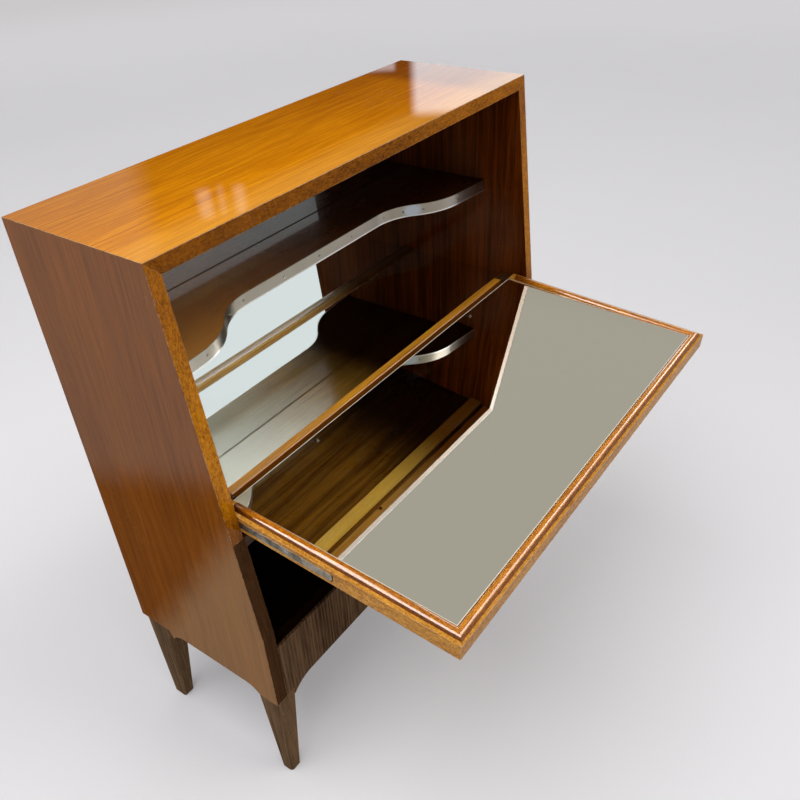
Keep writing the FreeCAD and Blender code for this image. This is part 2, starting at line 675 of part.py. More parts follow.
def make_leg(label, side, top, depths, tongue_depths, corner):
    """A tapered leg whose outer side stays plumb; its tongue stands inside the case.

    depths holds the near and far depth at the shoulder and then at the floor.
    """
    near_top, far_top, near_foot, far_foot = depths
    sign = "-" if side == "left" else ""
    body = new_body(label)
    low, high = ("-half_width", "-leg_side")
    if side == "right":
        low, high = ("leg_side", "half_width")
    add_prism(body, f"{label}_post", "YZ_Plane", low, high,
              side_view([(near_foot, "0"), (far_foot, "0"), (far_top, top), (near_top, top)]))
    wedge = [(f"{sign}(half_width - foot_width)", "0"), (f"{sign}leg_side", top),
             (f"{sign}(leg_side - overcut)", top), (f"{sign}(leg_side - overcut)", "0")]
    cut_prism(body, f"{label}_taper", "XZ_Plane", "0", "knee_depth", wedge)
    outside = f"{sign}half_width"
    round_edge(body, f"{label}_corner", (outside, minus(far_foot), "0"), (outside, minus(far_top), top), corner)
    chamfer_foot(body, f"{label}_foot", "foot_chamfer")
    near, far = tongue_depths
    points = [(f"{sign}inner_half", minus(far)), (f"{sign}inner_half", minus(near)),
              (f"{sign}leg_side", minus(near)), (f"{sign}leg_side", minus(far))]
    add_prism(body, f"{label}_tongue", "XY_Plane", top, "floor_foot", points)
    return keep_in_case(body, label)


def make_legs():
    front = ("front_leg_back", "knee_depth", "knee_depth - front_foot_depth", "knee_depth")
    rear = ("rear_leg_inset", "rear_leg_front", "rear_foot_inset", "rear_foot_inset + rear_foot_depth")
    for side in ("left", "right"):
        make_leg(f"front_leg_{side}", side, "front_leg_top", front,
                 ("front_leg_back", "knee_depth - stile_depth - apron_thickness"), "leg_corner")
        make_leg(f"rear_leg_{side}", side, "side_foot", rear,
                 ("back_face + rear_rail_thickness", "rear_leg_front"), "rear_leg_corner")


# ---- bar compartment -----------------------------------------------------------------------------

def make_mirrors():
    half = "inner_half - glass_gap"
    for label, foot, top in (("back_mirror_lower", "glass_top", "shelf_foot - joint_gap"),
                             ("back_mirror_upper", "joint_height", "ceiling - glass_gap")):
        body = board(label, minus(half), half, box_points("back_face", "glass_face", foot, top))
        keep_in_case(body, label)
    floor = board("floor_mirror", minus(half), half,
                  box_points("back_face", "deck_depth", "deck_top", "glass_top"))
    keep_in_case(floor, "floor_mirror")


def make_moulding():
    """Low moulding with a rounded top, in the corner between the floor mirror and the back mirror."""
    far = "glass_face + moulding_depth"
    top = "glass_top + moulding_height"
    points = [("glass_face", "glass_top"), (far, "glass_top"), (far, "glass_top + moulding_front"),
              ("glass_face + moulding_flat", top), ("glass_face", top)]
    half = "inner_half - glass_gap"
    body = board("back_moulding", minus(half), half, points, {2: ("moulding_radius", 1)})
    return keep_in_case(body, "back_moulding")


def make_nosing():
    """Rounded wooden nosing along the front of the deck, stopped short of the stop blocks."""
    far = "deck_depth + nosing_depth"
    top = "glass_top + nosing_lip"
    points = [("deck_depth", "deck_foot"), (far, "deck_foot"), (far, f"{top} - nosing_round"),
              (f"{far} - nosing_round", top), ("deck_depth", top)]
    half = "inner_half - stop_width"
    body = board("deck_nosing", minus(half), half, points, {2: ("nosing_round", 1)})
    return keep_in_case(body, "deck_nosing")


def make_stop_block(side):
    """Block beside the nosing; its flange is the stop for the heel of the open flap."""
    sign = -1 if side == "left" else 1
    outer = "inner_half"
    inner = "inner_half - stop_width"
    web = "inner_half - flap_gap - plate_thickness - heel_room"
    points = [(inner, "deck_foot"), (web, "deck_foot"), (web, "stop_foot"), (outer, "stop_foot"),
              (outer, "stop_foot + stop_flange"), (inner, "stop_foot + stop_flange")]
    if sign < 0:
        points = [(minus(x), z) for x, z in points]
    body = new_body(f"stop_block_{side}")
    add_prism(body, f"stop_{side}", "XZ_Plane", "deck_depth", "deck_depth + stop_depth", points)
    return keep_in_case(body, f"stop_block_{side}")


def make_pivot_bush(side):
    """Flanged bush let into the side; the flap's pin turns in it."""
    pivot = (minus("pivot_depth"), "pivot_height")
    body = new_body(f"pivot_bush_{side}")
    for name, depth, radius in (("flange", "bush_flange_thickness", "bush_flange"),
                                ("hub", "bush_depth", "bush_hub")):
        low = f"-inner_half - {depth}" if side == "left" else "inner_half"
        high = "-inner_half" if side == "left" else f"inner_half + {depth}"
        add_round(body, f"{name}_{side}", "YZ_Plane", low, high, pivot, radius)
    low = "-inner_half - bush_depth" if side == "left" else "inner_half"
    high = "-inner_half" if side == "left" else "inner_half + bush_depth"
    cut_round(body, f"bore_{side}", "YZ_Plane", low, high, pivot, "pin_radius + pin_clearance")
    return keep_in_case(body, f"pivot_bush_{side}")


def shelf_outline(half, grow, back):
    """Plan of the shelf, with its curved front moved forward by grow."""
    sweep_sin = "sin(shelf_sweep * 1deg)"
    sweep_cos = "cos(shelf_sweep * 1deg)"
    flare_sin = "sin(shelf_flare * 1deg)"
    flare_cos = "cos(shelf_flare * 1deg)"
    turn = "cos((shelf_sweep - shelf_flare) * 1deg)"
    hollow = (f"shelf_mid_half - {grow} * {sweep_sin} / (1 + {sweep_cos})", f"shelf_mid_depth + {grow}")
    horn = (f"shelf_horn - {grow} * ({sweep_sin} + {flare_sin}) / (1 + {turn})",
            f"horn_depth + {grow} * ({sweep_cos} + {flare_cos}) / (1 + {turn})")
    end = (half, f"horn_depth + ({half} - shelf_horn) * tan(shelf_flare * 1deg) + {grow} / {flare_cos}")
    right = [(half, minus(back)), (end[0], minus(end[1])), (horn[0], minus(horn[1])),
             (hollow[0], minus(hollow[1]))]
    left = [(minus(x), y) for x, y in reversed(right)]
    return right + left


def shelf_plate(name, half, grow, back):
    body = new_body(name)
    points = shelf_outline(half, grow, back)
    add_prism(body, f"{name}_pad", "XY_Plane", "shelf_foot", "shelf_top", points)
    for bend, corners, radius in (("hollow", (3, 4), f"shelf_hollow_radius - ({grow})"),
                                  ("horn", (2, 5), f"shelf_horn_radius + ({grow})")):
        for corner in corners:
            foot = (*points[corner], "shelf_foot")
            top = (*points[corner], "shelf_top")
            round_edge(body, f"{name}_{bend}_{corner}", foot, top, radius)
    return body


def strip_screw_places(shift):
    """Place along the strip, depth of its face there and turn of the face, for one side's screws."""
    hollow = "asin(({x} - hollow_start) / shelf_hollow_radius)"
    horn = "asin((horn_centre - {x}) / shelf_horn_radius)"
    places = [(f"(strip_screw_straight + {shift})", "shelf_mid_depth", "0deg")]
    for along in ("shelf_mid_half - strip_screw_hollow", "shelf_mid_half + strip_screw_hollow_end"):
        x = f"({along} + {shift})"
        turn = hollow.format(x=x)
        places.append((x, f"shelf_mid_depth + shelf_hollow_radius * (1 - cos({turn}))", turn))
    for along in ("shelf_horn - strip_screw_horn", "shelf_horn + strip_screw_horn_end"):
        x = f"({along} + {shift})"
        turn = horn.format(x=x)
        places.append((x, f"horn_middle + shelf_horn_radius * cos({turn})", turn))
    x = "(inner_half - strip_screw_last)"
    places.append((x, f"horn_depth + ({x} - shelf_horn) * tan(shelf_flare * 1deg)", "shelf_flare * 1deg"))
    return places


def facing_front(kind, name, setback):
    """A round piece whose axis points forward, starting behind the origin by setback."""
    piece = doc.addObject(kind, name)
    piece.Placement = FreeCAD.Placement(FreeCAD.Vector(), FreeCAD.Rotation(FreeCAD.Vector(1, 0, 0), 90))
    piece.setExpression("Placement.Base.y", formula(setback))
    return piece


def make_strip_screws():
    """Screws square to the face of the strip; returns the screws and their bores."""
    head = facing_front("Part::Prism", "strip_head", "-seat_clearance")
    head.Polygon = HEAD_SIDES
    head.setExpression("Circumradius", formula("strip_head_radius"))
    head.setExpression("Height", formula("strip_head_height"))
    shank = facing_front("Part::Prism", "strip_shank", "strip_screw_length")
    shank.Polygon = SCREW_SIDES
    shank.setExpression("Circumradius", formula("strip_screw_radius"))
    shank.setExpression("Height", formula("strip_screw_length + strip_head_height"))
    bore = facing_front("Part::Prism", "strip_bore", "strip_screw_length")
    bore.Polygon = SCREW_SIDES
    bore.setExpression("Circumradius", formula("strip_screw_radius + seat_clearance"))
    bore.setExpression("Height", formula("strip_screw_length + overcut"))
    whole = boolean("Part::Fuse", "strip_screw", shank, head)
    places = [("strip_screw_shift", "shelf_mid_depth", "0deg")]
    places += [(minus(x), depth, minus(turn)) for x, depth, turn in strip_screw_places("-strip_screw_shift")]
    places += strip_screw_places("strip_screw_shift")
    sets = {"screw": [], "bore": []}
    for number, (x, depth, turn) in enumerate(places):
        for kind, source in (("screw", whole), ("bore", bore)):
            copy = doc.addObject("Part::Compound", f"strip_{kind}_{number}")
            copy.Links = [source]
            copy.Placement = FreeCAD.Placement(FreeCAD.Vector(), FreeCAD.Rotation(FreeCAD.Vector(0, 0, -1), 1))
            copy.setExpression("Placement.Base.x", formula(x))
            copy.setExpression("Placement.Base.y", formula(minus(depth)))
            copy.setExpression("Placement.Base.z", formula("shelf_top - shelf_thickness / 2"))
            copy.setExpression("Placement.Rotation.Angle", formula(turn))
            sets[kind].append(copy)
    return sets["screw"], sets["bore"]


def make_shelf():
    board_grow = "-strip_thickness"
    screws, holes = make_strip_screws()
    bores = doc.addObject("Part::Compound", "strip_screw_bores")
    bores.Links = holes
    core = shelf_plate("shelf_core", "inner_half", f"({board_grow})", "back_face")
    for side, low, high in (("left", "-inner_half - shelf_housing", "-inner_half"),
                            ("right", "inner_half", "inner_half + shelf_housing")):
        tongue = box_points("back_face", "shelf_end_depth - strip_thickness", "shelf_foot", "shelf_top")
        add_prism(core, f"shelf_tongue_{side}", "YZ_Plane", low, high, side_view(tongue))
    keep_in_case(boolean("Part::Cut", "shelf_bored", core, bores), "shelf")
    outer = shelf_plate("strip_outer", "inner_half", "0", "back_face")
    inner = shelf_plate("strip_inner", "inner_half", f"({board_grow})", "back_face")
    strip = boolean("Part::Cut", "strip_blank", outer, inner)
    keep_in_case(boolean("Part::Cut", "strip_bored", strip, bores), "shelf_strip")
    group = doc.addObject("Part::Compound", "screws_of_strip")
    group.Links = screws
    keep_in_case(group, "strip_screws")


def make_batten():
    """Batten under the top that the closed flap meets."""
    front = f"{front_at('ceiling')} - flap_thickness / lean_cos - batten_clearance"
    body = board("closing_batten", "-inner_half", "inner_half",
                 box_points(f"{front} - batten_width", front, "ceiling - batten_thickness", "ceiling"))
    return keep_in_case(body, "closing_batten")


def make_top():
    """The top and its lipping, with the keep for the lock bolt bored in line with the closed flap."""
    keep = doc.addObject("Part::Cylinder", "keep_hole")
    keep.setExpression("Radius", formula("bolt_radius + keep_clearance"))
    keep.setExpression("Height", formula("bolt_travel + keep_spare + keep_start"))
    keep.Placement = FreeCAD.Placement(FreeCAD.Vector(), FreeCAD.Rotation(FreeCAD.Vector(1, 0, 0), -1))
    keep.setExpression("Placement.Rotation.Angle", formula("-front_lean"))
    reach = "(flap_free - keep_start)"
    keep.setExpression("Placement.Base.y",
                       formula(f"-pivot_depth + {reach} * lean_sin + lock_level * lean_cos"))
    keep.setExpression("Placement.Base.z",
                       formula(f"pivot_height + {reach} * lean_cos - lock_level * lean_sin"))
    keep_in_case(boolean("Part::Cut", "top_bored", make_top_panel(), keep), "top_panel")
    keep_in_case(boolean("Part::Cut", "top_edging_bored", make_top_edging(), keep), "top_edging")


# ---- flap ----------------------------------------------------------------------------------------

def make_flap_core():
    """Core of the flap; its inner face is the mirror's bed."""
    bed = "flap_inner - mirror_sink - mirror_thickness"
    fall = "tan(mirror_lean * 1deg)"
    points = [("pivot_margin", "-pivot_setback"), ("-bed_free", "-pivot_setback"),
              ("-bed_free", f"{bed} + bed_free * {fall}"), ("pivot_margin", f"{bed} - pivot_margin * {fall}")]
    body = new_body("flap_core")
    add_prism(body, "flap_core_slab", "YZ_Plane", "-bed_half", "bed_half", points)
    lock_low = "lock_level - lock_thickness / 2"
    lock_high = "lock_level + lock_thickness / 2"
    room = rectangle("-lock_width / 2", "-flap_free + lock_inset", "lock_width / 2",
                     "-flap_free + lock_inset + lock_length")
    cut_prism(body, "lock_room", "XY_Plane", lock_low, lock_high, room)
    key = ("0", "-flap_free + key_inset")
    cut_round(body, "key_room", "XY_Plane", "-pivot_setback", lock_low, key, "key_bush_radius + seat_clearance")
    return keep_on_flap(body, "flap_core")


def make_plate_screws():
    """Countersunk screws of both hinge plates."""
    screws = []
    for sign, side, turn in (("-", "left", 90), ("", "right", -90)):
        for number in range(PLATE_SCREWS):
            place = f"pivot_margin - plate_screw_first - {number} * plate_screw_step"
            head = doc.addObject("Part::Cone", f"plate_head_{side}_{number}")
            head.setExpression("Radius1", formula("plate_screw_head"))
            head.setExpression("Radius2", formula("plate_screw_radius"))
            head.setExpression("Height", formula("plate_screw_sink"))
            shank = doc.addObject("Part::Prism", f"plate_shank_{side}_{number}")
            shank.Polygon = SCREW_SIDES
            shank.setExpression("Circumradius", formula("plate_screw_radius"))
            shank.setExpression("Height", formula("plate_screw_length"))
            for piece in (head, shank):
                piece.Placement = FreeCAD.Placement(
                    FreeCAD.Vector(), FreeCAD.Rotation(FreeCAD.Vector(0, 1, 0), turn))
                piece.setExpression("Placement.Base.x", formula(f"{sign}flap_half"))
                piece.setExpression("Placement.Base.y", formula(place))
                piece.setExpression("Placement.Base.z", formula("plate_offset"))
            screws.append(boolean("Part::Fuse", f"plate_screw_{side}_{number}", head, shank))
    group = doc.addObject("Part::Compound", "plate_screw_set")
    group.Links = screws
    return group


def make_flap_edge(side, screws):
    """Solid edge of the flap, mitred at the free corners; the side edges carry the hinge plates."""
    body = new_body(f"flap_edge_{side}_blank")
    if side == "front":
        plan = [("-flap_half", "-flap_free"), ("flap_half", "-flap_free"), ("bed_half", "-bed_free"),
                ("-bed_half", "-bed_free")]
        add_prism(body, "flap_edge_front_slab", "XY_Plane", "-pivot_setback", "flap_inner", plan)
        room = rectangle("-lock_width / 2", "-flap_free + lock_inset", "lock_width / 2", "-bed_free + overcut")
        cut_prism(body, "lock_end_room", "XY_Plane", "lock_level - lock_thickness / 2",
                  "lock_level + lock_thickness / 2", room)
        cut_round(body, "bolt_way", "XZ_Plane", "flap_free - lock_inset - overcut", "flap_free",
                  ("0", "lock_level"), "bolt_radius + bolt_clearance")
        return keep_on_flap(body, "flap_edge_front")
    sign = "-" if side == "left" else ""
    plan = [(f"{sign}flap_half", "-flap_free"), (f"{sign}flap_half", "pivot_margin"),
            (f"{sign}bed_half", "pivot_margin"), (f"{sign}bed_half", "-bed_free")]
    add_prism(body, f"flap_edge_{side}_slab", "XY_Plane", "-pivot_setback", "flap_inner", plan)
    low = "-flap_half" if side == "left" else "flap_half - plate_thickness"
    high = "-flap_half + plate_thickness" if side == "left" else "flap_half"
    foot = "plate_offset - plate_width / 2 - seat_clearance"
    top = "plate_offset + plate_width / 2 + seat_clearance"
    seat = rectangle("-plate_reach - seat_clearance", foot, "pivot_margin + overcut", top)
    cut_prism(body, f"plate_seat_{side}", "YZ_Plane", low, high, seat)
    return keep_on_flap(boolean("Part::Cut", f"flap_edge_{side}_bored", body, screws), f"flap_edge_{side}")


def make_front_bead():
    """Rounded bead on the flap's rim along the free edge, mitred at both ends."""
    body = new_body("bead_front")
    far = "-flap_free + front_step"
    near = "-bed_free"
    add_prism(body, "bead_front_round", "YZ_Plane", "-flap_half", "flap_half",
              [(far, "flap_inner"), (near, "flap_inner")], {1: ("bead_radius", -1)})
    for sign, name in (("-", "left"), ("", "right")):
        outside = f"{sign}(flap_half + overcut)"
        corner = [(f"{sign}(flap_half - side_step)", far), (f"{sign}bed_half", near),
                  (f"{sign}bed_half", f"{near} + overcut"), (outside, f"{near} + overcut"), (outside, far)]
        cut_prism(body, f"bead_front_mitre_{name}", "XY_Plane", "flap_inner",
                  "flap_inner + bead_height + overcut", corner)
    return keep_on_flap(body, "bead_front")


def make_side_bead(side):
    """Rounded bead on the flap's rim at one end, mitred at the free corner."""
    sign = "-" if side == "left" else ""
    inner = f"{sign}bed_half"
    outer = f"{sign}(flap_half - side_step)"
    past = f"{sign}(bed_half - overcut)"
    body = new_body(f"bead_{side}")
    add_prism(body, f"bead_{side}_round", "XZ_Plane", "-pivot_margin + bead_stop", "flap_free - front_step",
              [(inner, "flap_inner"), (outer, "flap_inner")],
              {1: ("bead_radius", 1 if side == "left" else -1)})
    corner = [(outer, "-flap_free + front_step"), (inner, "-bed_free"), (past, "-bed_free"),
              (past, "-flap_free + front_step")]
    cut_prism(body, f"bead_{side}_mitre", "XY_Plane", "flap_inner", "flap_inner + bead_height + overcut", corner)
    return keep_on_flap(body, f"bead_{side}")


def make_flap_mirror():
    bed = "flap_inner - mirror_sink - mirror_thickness"
    fall = "tan(mirror_lean * 1deg)"
    free = "(bed_free - glass_gap)"
    rear = "pivot_margin"
    points = [(rear, f"{bed} - {rear} * {fall}"), (minus(free), f"{bed} + {free} * {fall}"),
              (minus(free), f"{bed} + {free} * {fall} + mirror_thickness"),
              (rear, f"{bed} - {rear} * {fall} + mirror_thickness")]
    body = new_body("flap_mirror")
    add_prism(body, "flap_glass", "YZ_Plane", "-bed_half + glass_gap", "bed_half - glass_gap", points)
    return keep_on_flap(body, "flap_mirror")


def make_hinge_plate(side, screws):
    """Steel plate let into the end of the flap, with the pivot pin and the heel behind it."""
    low = "-flap_half" if side == "left" else "flap_half - plate_thickness"
    high = "-flap_half + plate_thickness" if side == "left" else "flap_half"
    foot = "plate_offset - plate_width / 2"
    top = "plate_offset + plate_width / 2"
    points = [("-plate_reach + plate_width / 2", top), ("-plate_reach + plate_width / 2", foot),
              ("tail_reach", foot), ("tail_reach", "tail_rise"), ("pivot_margin", "tail_rise"),
              ("pivot_margin", top)]
    body = new_body(f"hinge_plate_{side}_blank")
    add_prism(body, f"plate_{side}", "YZ_Plane", low, high, points, {0: ("plate_end_radius", -1)})
    low_pin = "-flap_half - pin_length" if side == "left" else "flap_half"
    high_pin = "-flap_half" if side == "left" else "flap_half + pin_length"
    add_round(body, f"pin_{side}", "YZ_Plane", low_pin, high_pin, ("0", "0"), "pin_radius")
    plate = boolean("Part::Cut", f"hinge_plate_{side}_bored", body, screws)
    return keep_on_flap(plate, f"hinge_plate_{side}")


def make_lock():
    case = new_body("lock_case")
    room = rectangle("-lock_width / 2 + seat_clearance", "-flap_free + lock_inset",
                     "lock_width / 2 - seat_clearance", "-flap_free + lock_inset + lock_length - seat_clearance")
    add_prism(case, "lock_box", "XY_Plane", "lock_level - lock_thickness / 2",
              "lock_level + lock_thickness / 2", room)
    cut_round(case, "bolt_bore", "XZ_Plane", "flap_free - bolt_inset - bolt_length - overcut",
              "flap_free - lock_inset", ("0", "lock_level"), "bolt_radius + bolt_clearance")
    cut_round(case, "key_bore", "XY_Plane", "lock_level - lock_thickness / 2", "lock_level",
              ("0", "-flap_free + key_inset"), "key_hole_radius")
    keep_on_flap(case, "lock_case")
    bolt = new_body("lock_bolt")
    add_round(bolt, "bolt", "XZ_Plane", "flap_free - bolt_inset - bolt_length", "flap_free - bolt_inset",
              ("0", "lock_level"), "bolt_radius")
    keep_on_flap(bolt, "lock_bolt")
    bush = new_body("key_bush")
    key = ("0", "-flap_free + key_inset")
    add_round(bush, "key_ring", "XY_Plane", "-pivot_setback", "lock_level - lock_thickness / 2", key,
              "key_bush_radius")
    cut_round(bush, "key_hole", "XY_Plane", "-pivot_setback", "lock_level - lock_thickness / 2", key,
              "key_hole_radius")
    keep_on_flap(bush, "key_bush")


def make_mirror_clips():
    """Domed clips at the rear edge of the flap's mirror."""
    clips = []
    radius = "((clip_radius * clip_radius + clip_height * clip_height) / (2 * clip_height))"
    reach = "(pivot_margin - clip_inset)"
    rise = f"({radius} - clip_height)"
    face = f"(flap_inner - mirror_sink - {reach} * tan(mirror_lean * 1deg))"
    for number, sign in enumerate(("-", "")):
        dome = doc.addObject("Part::Sphere", f"clip_{number}")
        dome.Placement = FreeCAD.Placement(FreeCAD.Vector(), FreeCAD.Rotation(FreeCAD.Vector(-1, 0, 0), 1))
        dome.setExpression("Radius", formula(radius))
        dome.setExpression("Angle1", formula(f"asin({rise} / {radius})"))
        dome.setExpression("Placement.Rotation.Angle", formula("mirror_lean"))
        dome.setExpression("Placement.Base.x", formula(f"{sign}clip_spacing / 2"))
        dome.setExpression("Placement.Base.y", formula(f"{reach} - {rise} * sin(mirror_lean * 1deg)"))
        dome.setExpression("Placement.Base.z", formula(f"{face} - {rise} * cos(mirror_lean * 1deg)"))
        clips.append(dome)
    group = doc.addObject("Part::Compound", "mirror_clip_pair")
    group.Links = clips
    keep_on_flap(group, "mirror_clips")


make_top()
for hand in ("left", "right"):
    make_side_panel(hand)
    make_edging(hand)
    make_stile(hand)
    make_stop_block(hand)
    make_pivot_bush(hand)
make_back_panel()
make_niche_top()
make_mid_rail()
make_deck()
make_niche_floor()
make_apron()
make_rear_rail()
make_legs()
make_mirrors()
make_moulding()
make_nosing()
make_shelf()
make_batten()
make_flap_core()
plate_screws = make_plate_screws()
make_flap_edge("front", plate_screws)
make_front_bead()
for hand in ("left", "right"):
    make_flap_edge(hand, plate_screws)
    make_side_bead(hand)
    make_hinge_plate(hand, plate_screws)
hinge_screws = doc.addObject("Part::Compound", "plate_screws_seated")
hinge_screws.Links = [plate_screws]
keep_on_flap(hinge_screws, "hinge_screws")
make_flap_mirror()
make_lock()
make_mirror_clips()
doc.recompute()

for item in doc.Objects:
    if "Invalid" in item.State or "Error" in item.State:
        raise SystemExit(f"{item.Name} failed: {item.State} {item.getStatusString()}")
for node in NODES:
    if node.Shape.isNull() or not node.Shape.isValid():
        raise SystemExit(f"{node.Label} has no valid shape")
os.makedirs("parts", exist_ok=True)
for node in NODES:
    node.Shape.exportStep(f"parts/{node.Label}.step")
print(len(NODES), "nodes; pivot depth", round(value("pivot_depth"), 3),
      "lean", round(math.degrees(math.atan(value("front_slope"))), 3),
      "back line", round(value("back_line"), 3))
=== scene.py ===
import math

import bpy
from mathutils import Matrix, Vector


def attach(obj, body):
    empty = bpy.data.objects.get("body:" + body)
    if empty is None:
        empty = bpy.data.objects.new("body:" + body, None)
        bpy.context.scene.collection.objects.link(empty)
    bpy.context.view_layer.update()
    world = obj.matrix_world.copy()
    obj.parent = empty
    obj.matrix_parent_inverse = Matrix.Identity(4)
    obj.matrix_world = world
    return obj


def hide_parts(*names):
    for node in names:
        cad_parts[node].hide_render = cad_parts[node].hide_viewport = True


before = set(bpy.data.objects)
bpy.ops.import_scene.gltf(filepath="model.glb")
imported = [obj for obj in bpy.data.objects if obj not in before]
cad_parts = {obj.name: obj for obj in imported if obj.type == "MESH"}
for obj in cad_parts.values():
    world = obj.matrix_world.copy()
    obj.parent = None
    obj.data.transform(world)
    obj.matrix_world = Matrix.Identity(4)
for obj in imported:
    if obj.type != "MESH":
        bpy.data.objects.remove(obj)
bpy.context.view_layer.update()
bpy.ops.object.select_all(action="DESELECT")

# ---- camera --------------------------------------------------------------------------------------

IMAGE_SIZE = 800
SENSOR = 36.0
FOCAL_PIXELS = 802.6
OPTICAL_CENTRE = (386.48, 428.97)
CAMERA_PLACE = (-0.94923, -0.66087, 1.38182)
CAMERA_HEADING = math.radians(51.778)
CAMERA_DIP = math.radians(37.119)
CAMERA_ROLL = math.radians(-3.740)


def place_camera():
    """A hand-held view from the front left, looking down into the bar."""
    ahead = Vector((math.sin(CAMERA_HEADING) * math.cos(CAMERA_DIP),
                    math.cos(CAMERA_HEADING) * math.cos(CAMERA_DIP), -math.sin(CAMERA_DIP)))
    level = Vector((math.cos(CAMERA_HEADING), -math.sin(CAMERA_HEADING), 0.0))
    upright = level.cross(ahead)
    right = math.cos(CAMERA_ROLL) * level + math.sin(CAMERA_ROLL) * upright
    up = math.cos(CAMERA_ROLL) * upright - math.sin(CAMERA_ROLL) * level
    lens = bpy.data.cameras.new("camera")
    lens.sensor_width = SENSOR
    lens.lens = FOCAL_PIXELS / IMAGE_SIZE * SENSOR
    lens.shift_x = (IMAGE_SIZE / 2 - OPTICAL_CENTRE[0]) / IMAGE_SIZE
    lens.shift_y = (OPTICAL_CENTRE[1] - IMAGE_SIZE / 2) / IMAGE_SIZE
    camera = bpy.data.objects.new("camera", lens)
    axes = Matrix((right, up, -ahead)).transposed().to_4x4()
    camera.matrix_world = Matrix.Translation(CAMERA_PLACE) @ axes
    bpy.context.scene.collection.objects.link(camera)
    bpy.context.scene.camera = camera


# ---- node helpers --------------------------------------------------------------------------------

def tone(red, green, blue):
    """An sRGB colour, 0 to 255, as the linear colour that sockets take."""
    linear = []
    for part in (red, green, blue):
        part /= 255.0
        linear.append(part / 12.92 if part <= 0.04045 else ((part + 0.055) / 1.055) ** 2.4)
    return (*linear, 1.0)


def add_node(tree, kind, inputs=None, **settings):
    """A node with its properties set, and its input sockets by name or number from inputs."""
    node = tree.nodes.new(kind)
    for name, value in settings.items():
        setattr(node, name, value)
    for name, value in (inputs or {}).items():
        socket = node.inputs[name]
        if isinstance(value, bpy.types.NodeSocket):
            tree.links.new(value, socket)
        else:
            socket.default_value = value
    return node


def calc(tree, operation, first, second=0.0, third=0.0, clamp=False):
    inputs = {0: first, 1: second}
    if operation == "MULTIPLY_ADD":
        inputs[2] = third
    return add_node(tree, "ShaderNodeMath", inputs, operation=operation, use_clamp=clamp).outputs[0]


def blend_colours(tree, factor, first, second, blend="MIX"):
    return add_node(tree, "ShaderNodeMix", {0: factor, 6: first, 7: second},
                    data_type="RGBA", blend_type=blend).outputs[2]


def stretch(tree, value, low, high, start=0.0, finish=1.0, smooth=False):
    """A value mapped so that low becomes start and high becomes finish, and held beyond them."""
    kind = "SMOOTHSTEP" if smooth else "LINEAR"
    return add_node(tree, "ShaderNodeMapRange",
                    {"Value": value, "From Min": low, "From Max": high, "To Min": start, "To Max": finish},
                    interpolation_type=kind).outputs[0]


def noise(tree, vector, scale, detail=2.0, roughness=0.5, distortion=0.0):
    return add_node(tree, "ShaderNodeTexNoise", {
        "Vector": vector, "Scale": scale, "Detail": detail, "Roughness": roughness,
        "Distortion": distortion}).outputs["Fac"]


def scaled(tree, vector, x, y, z):
    return add_node(tree, "ShaderNodeVectorMath", {0: vector, 1: (x, y, z)}, operation="MULTIPLY").outputs[0]


def group(name, takes, gives):
    """A shader node group; takes and gives list (name, kind, default) and (name, kind)."""
    tree = bpy.data.node_groups.new(name, "ShaderNodeTree")
    for socket_name, kind, value in takes:
        socket = tree.interface.new_socket(name=socket_name, in_out="INPUT", socket_type=kind)
        if value is not None:
            socket.default_value = value
    for socket_name, kind in gives:
        tree.interface.new_socket(name=socket_name, in_out="OUTPUT", socket_type=kind)
    return tree, tree.nodes.new("NodeGroupInput").outputs, tree.nodes.new("NodeGroupOutput").inputs


FLOAT = "NodeSocketFloat"
COLOUR = "NodeSocketColor"
VECTOR = "NodeSocketVector"


# ---- shared effects ------------------------------------------------------------------------------

# width of one stripe and its gap in a cross-cut facing, in metres
STRIPE_STEP = 0.0080


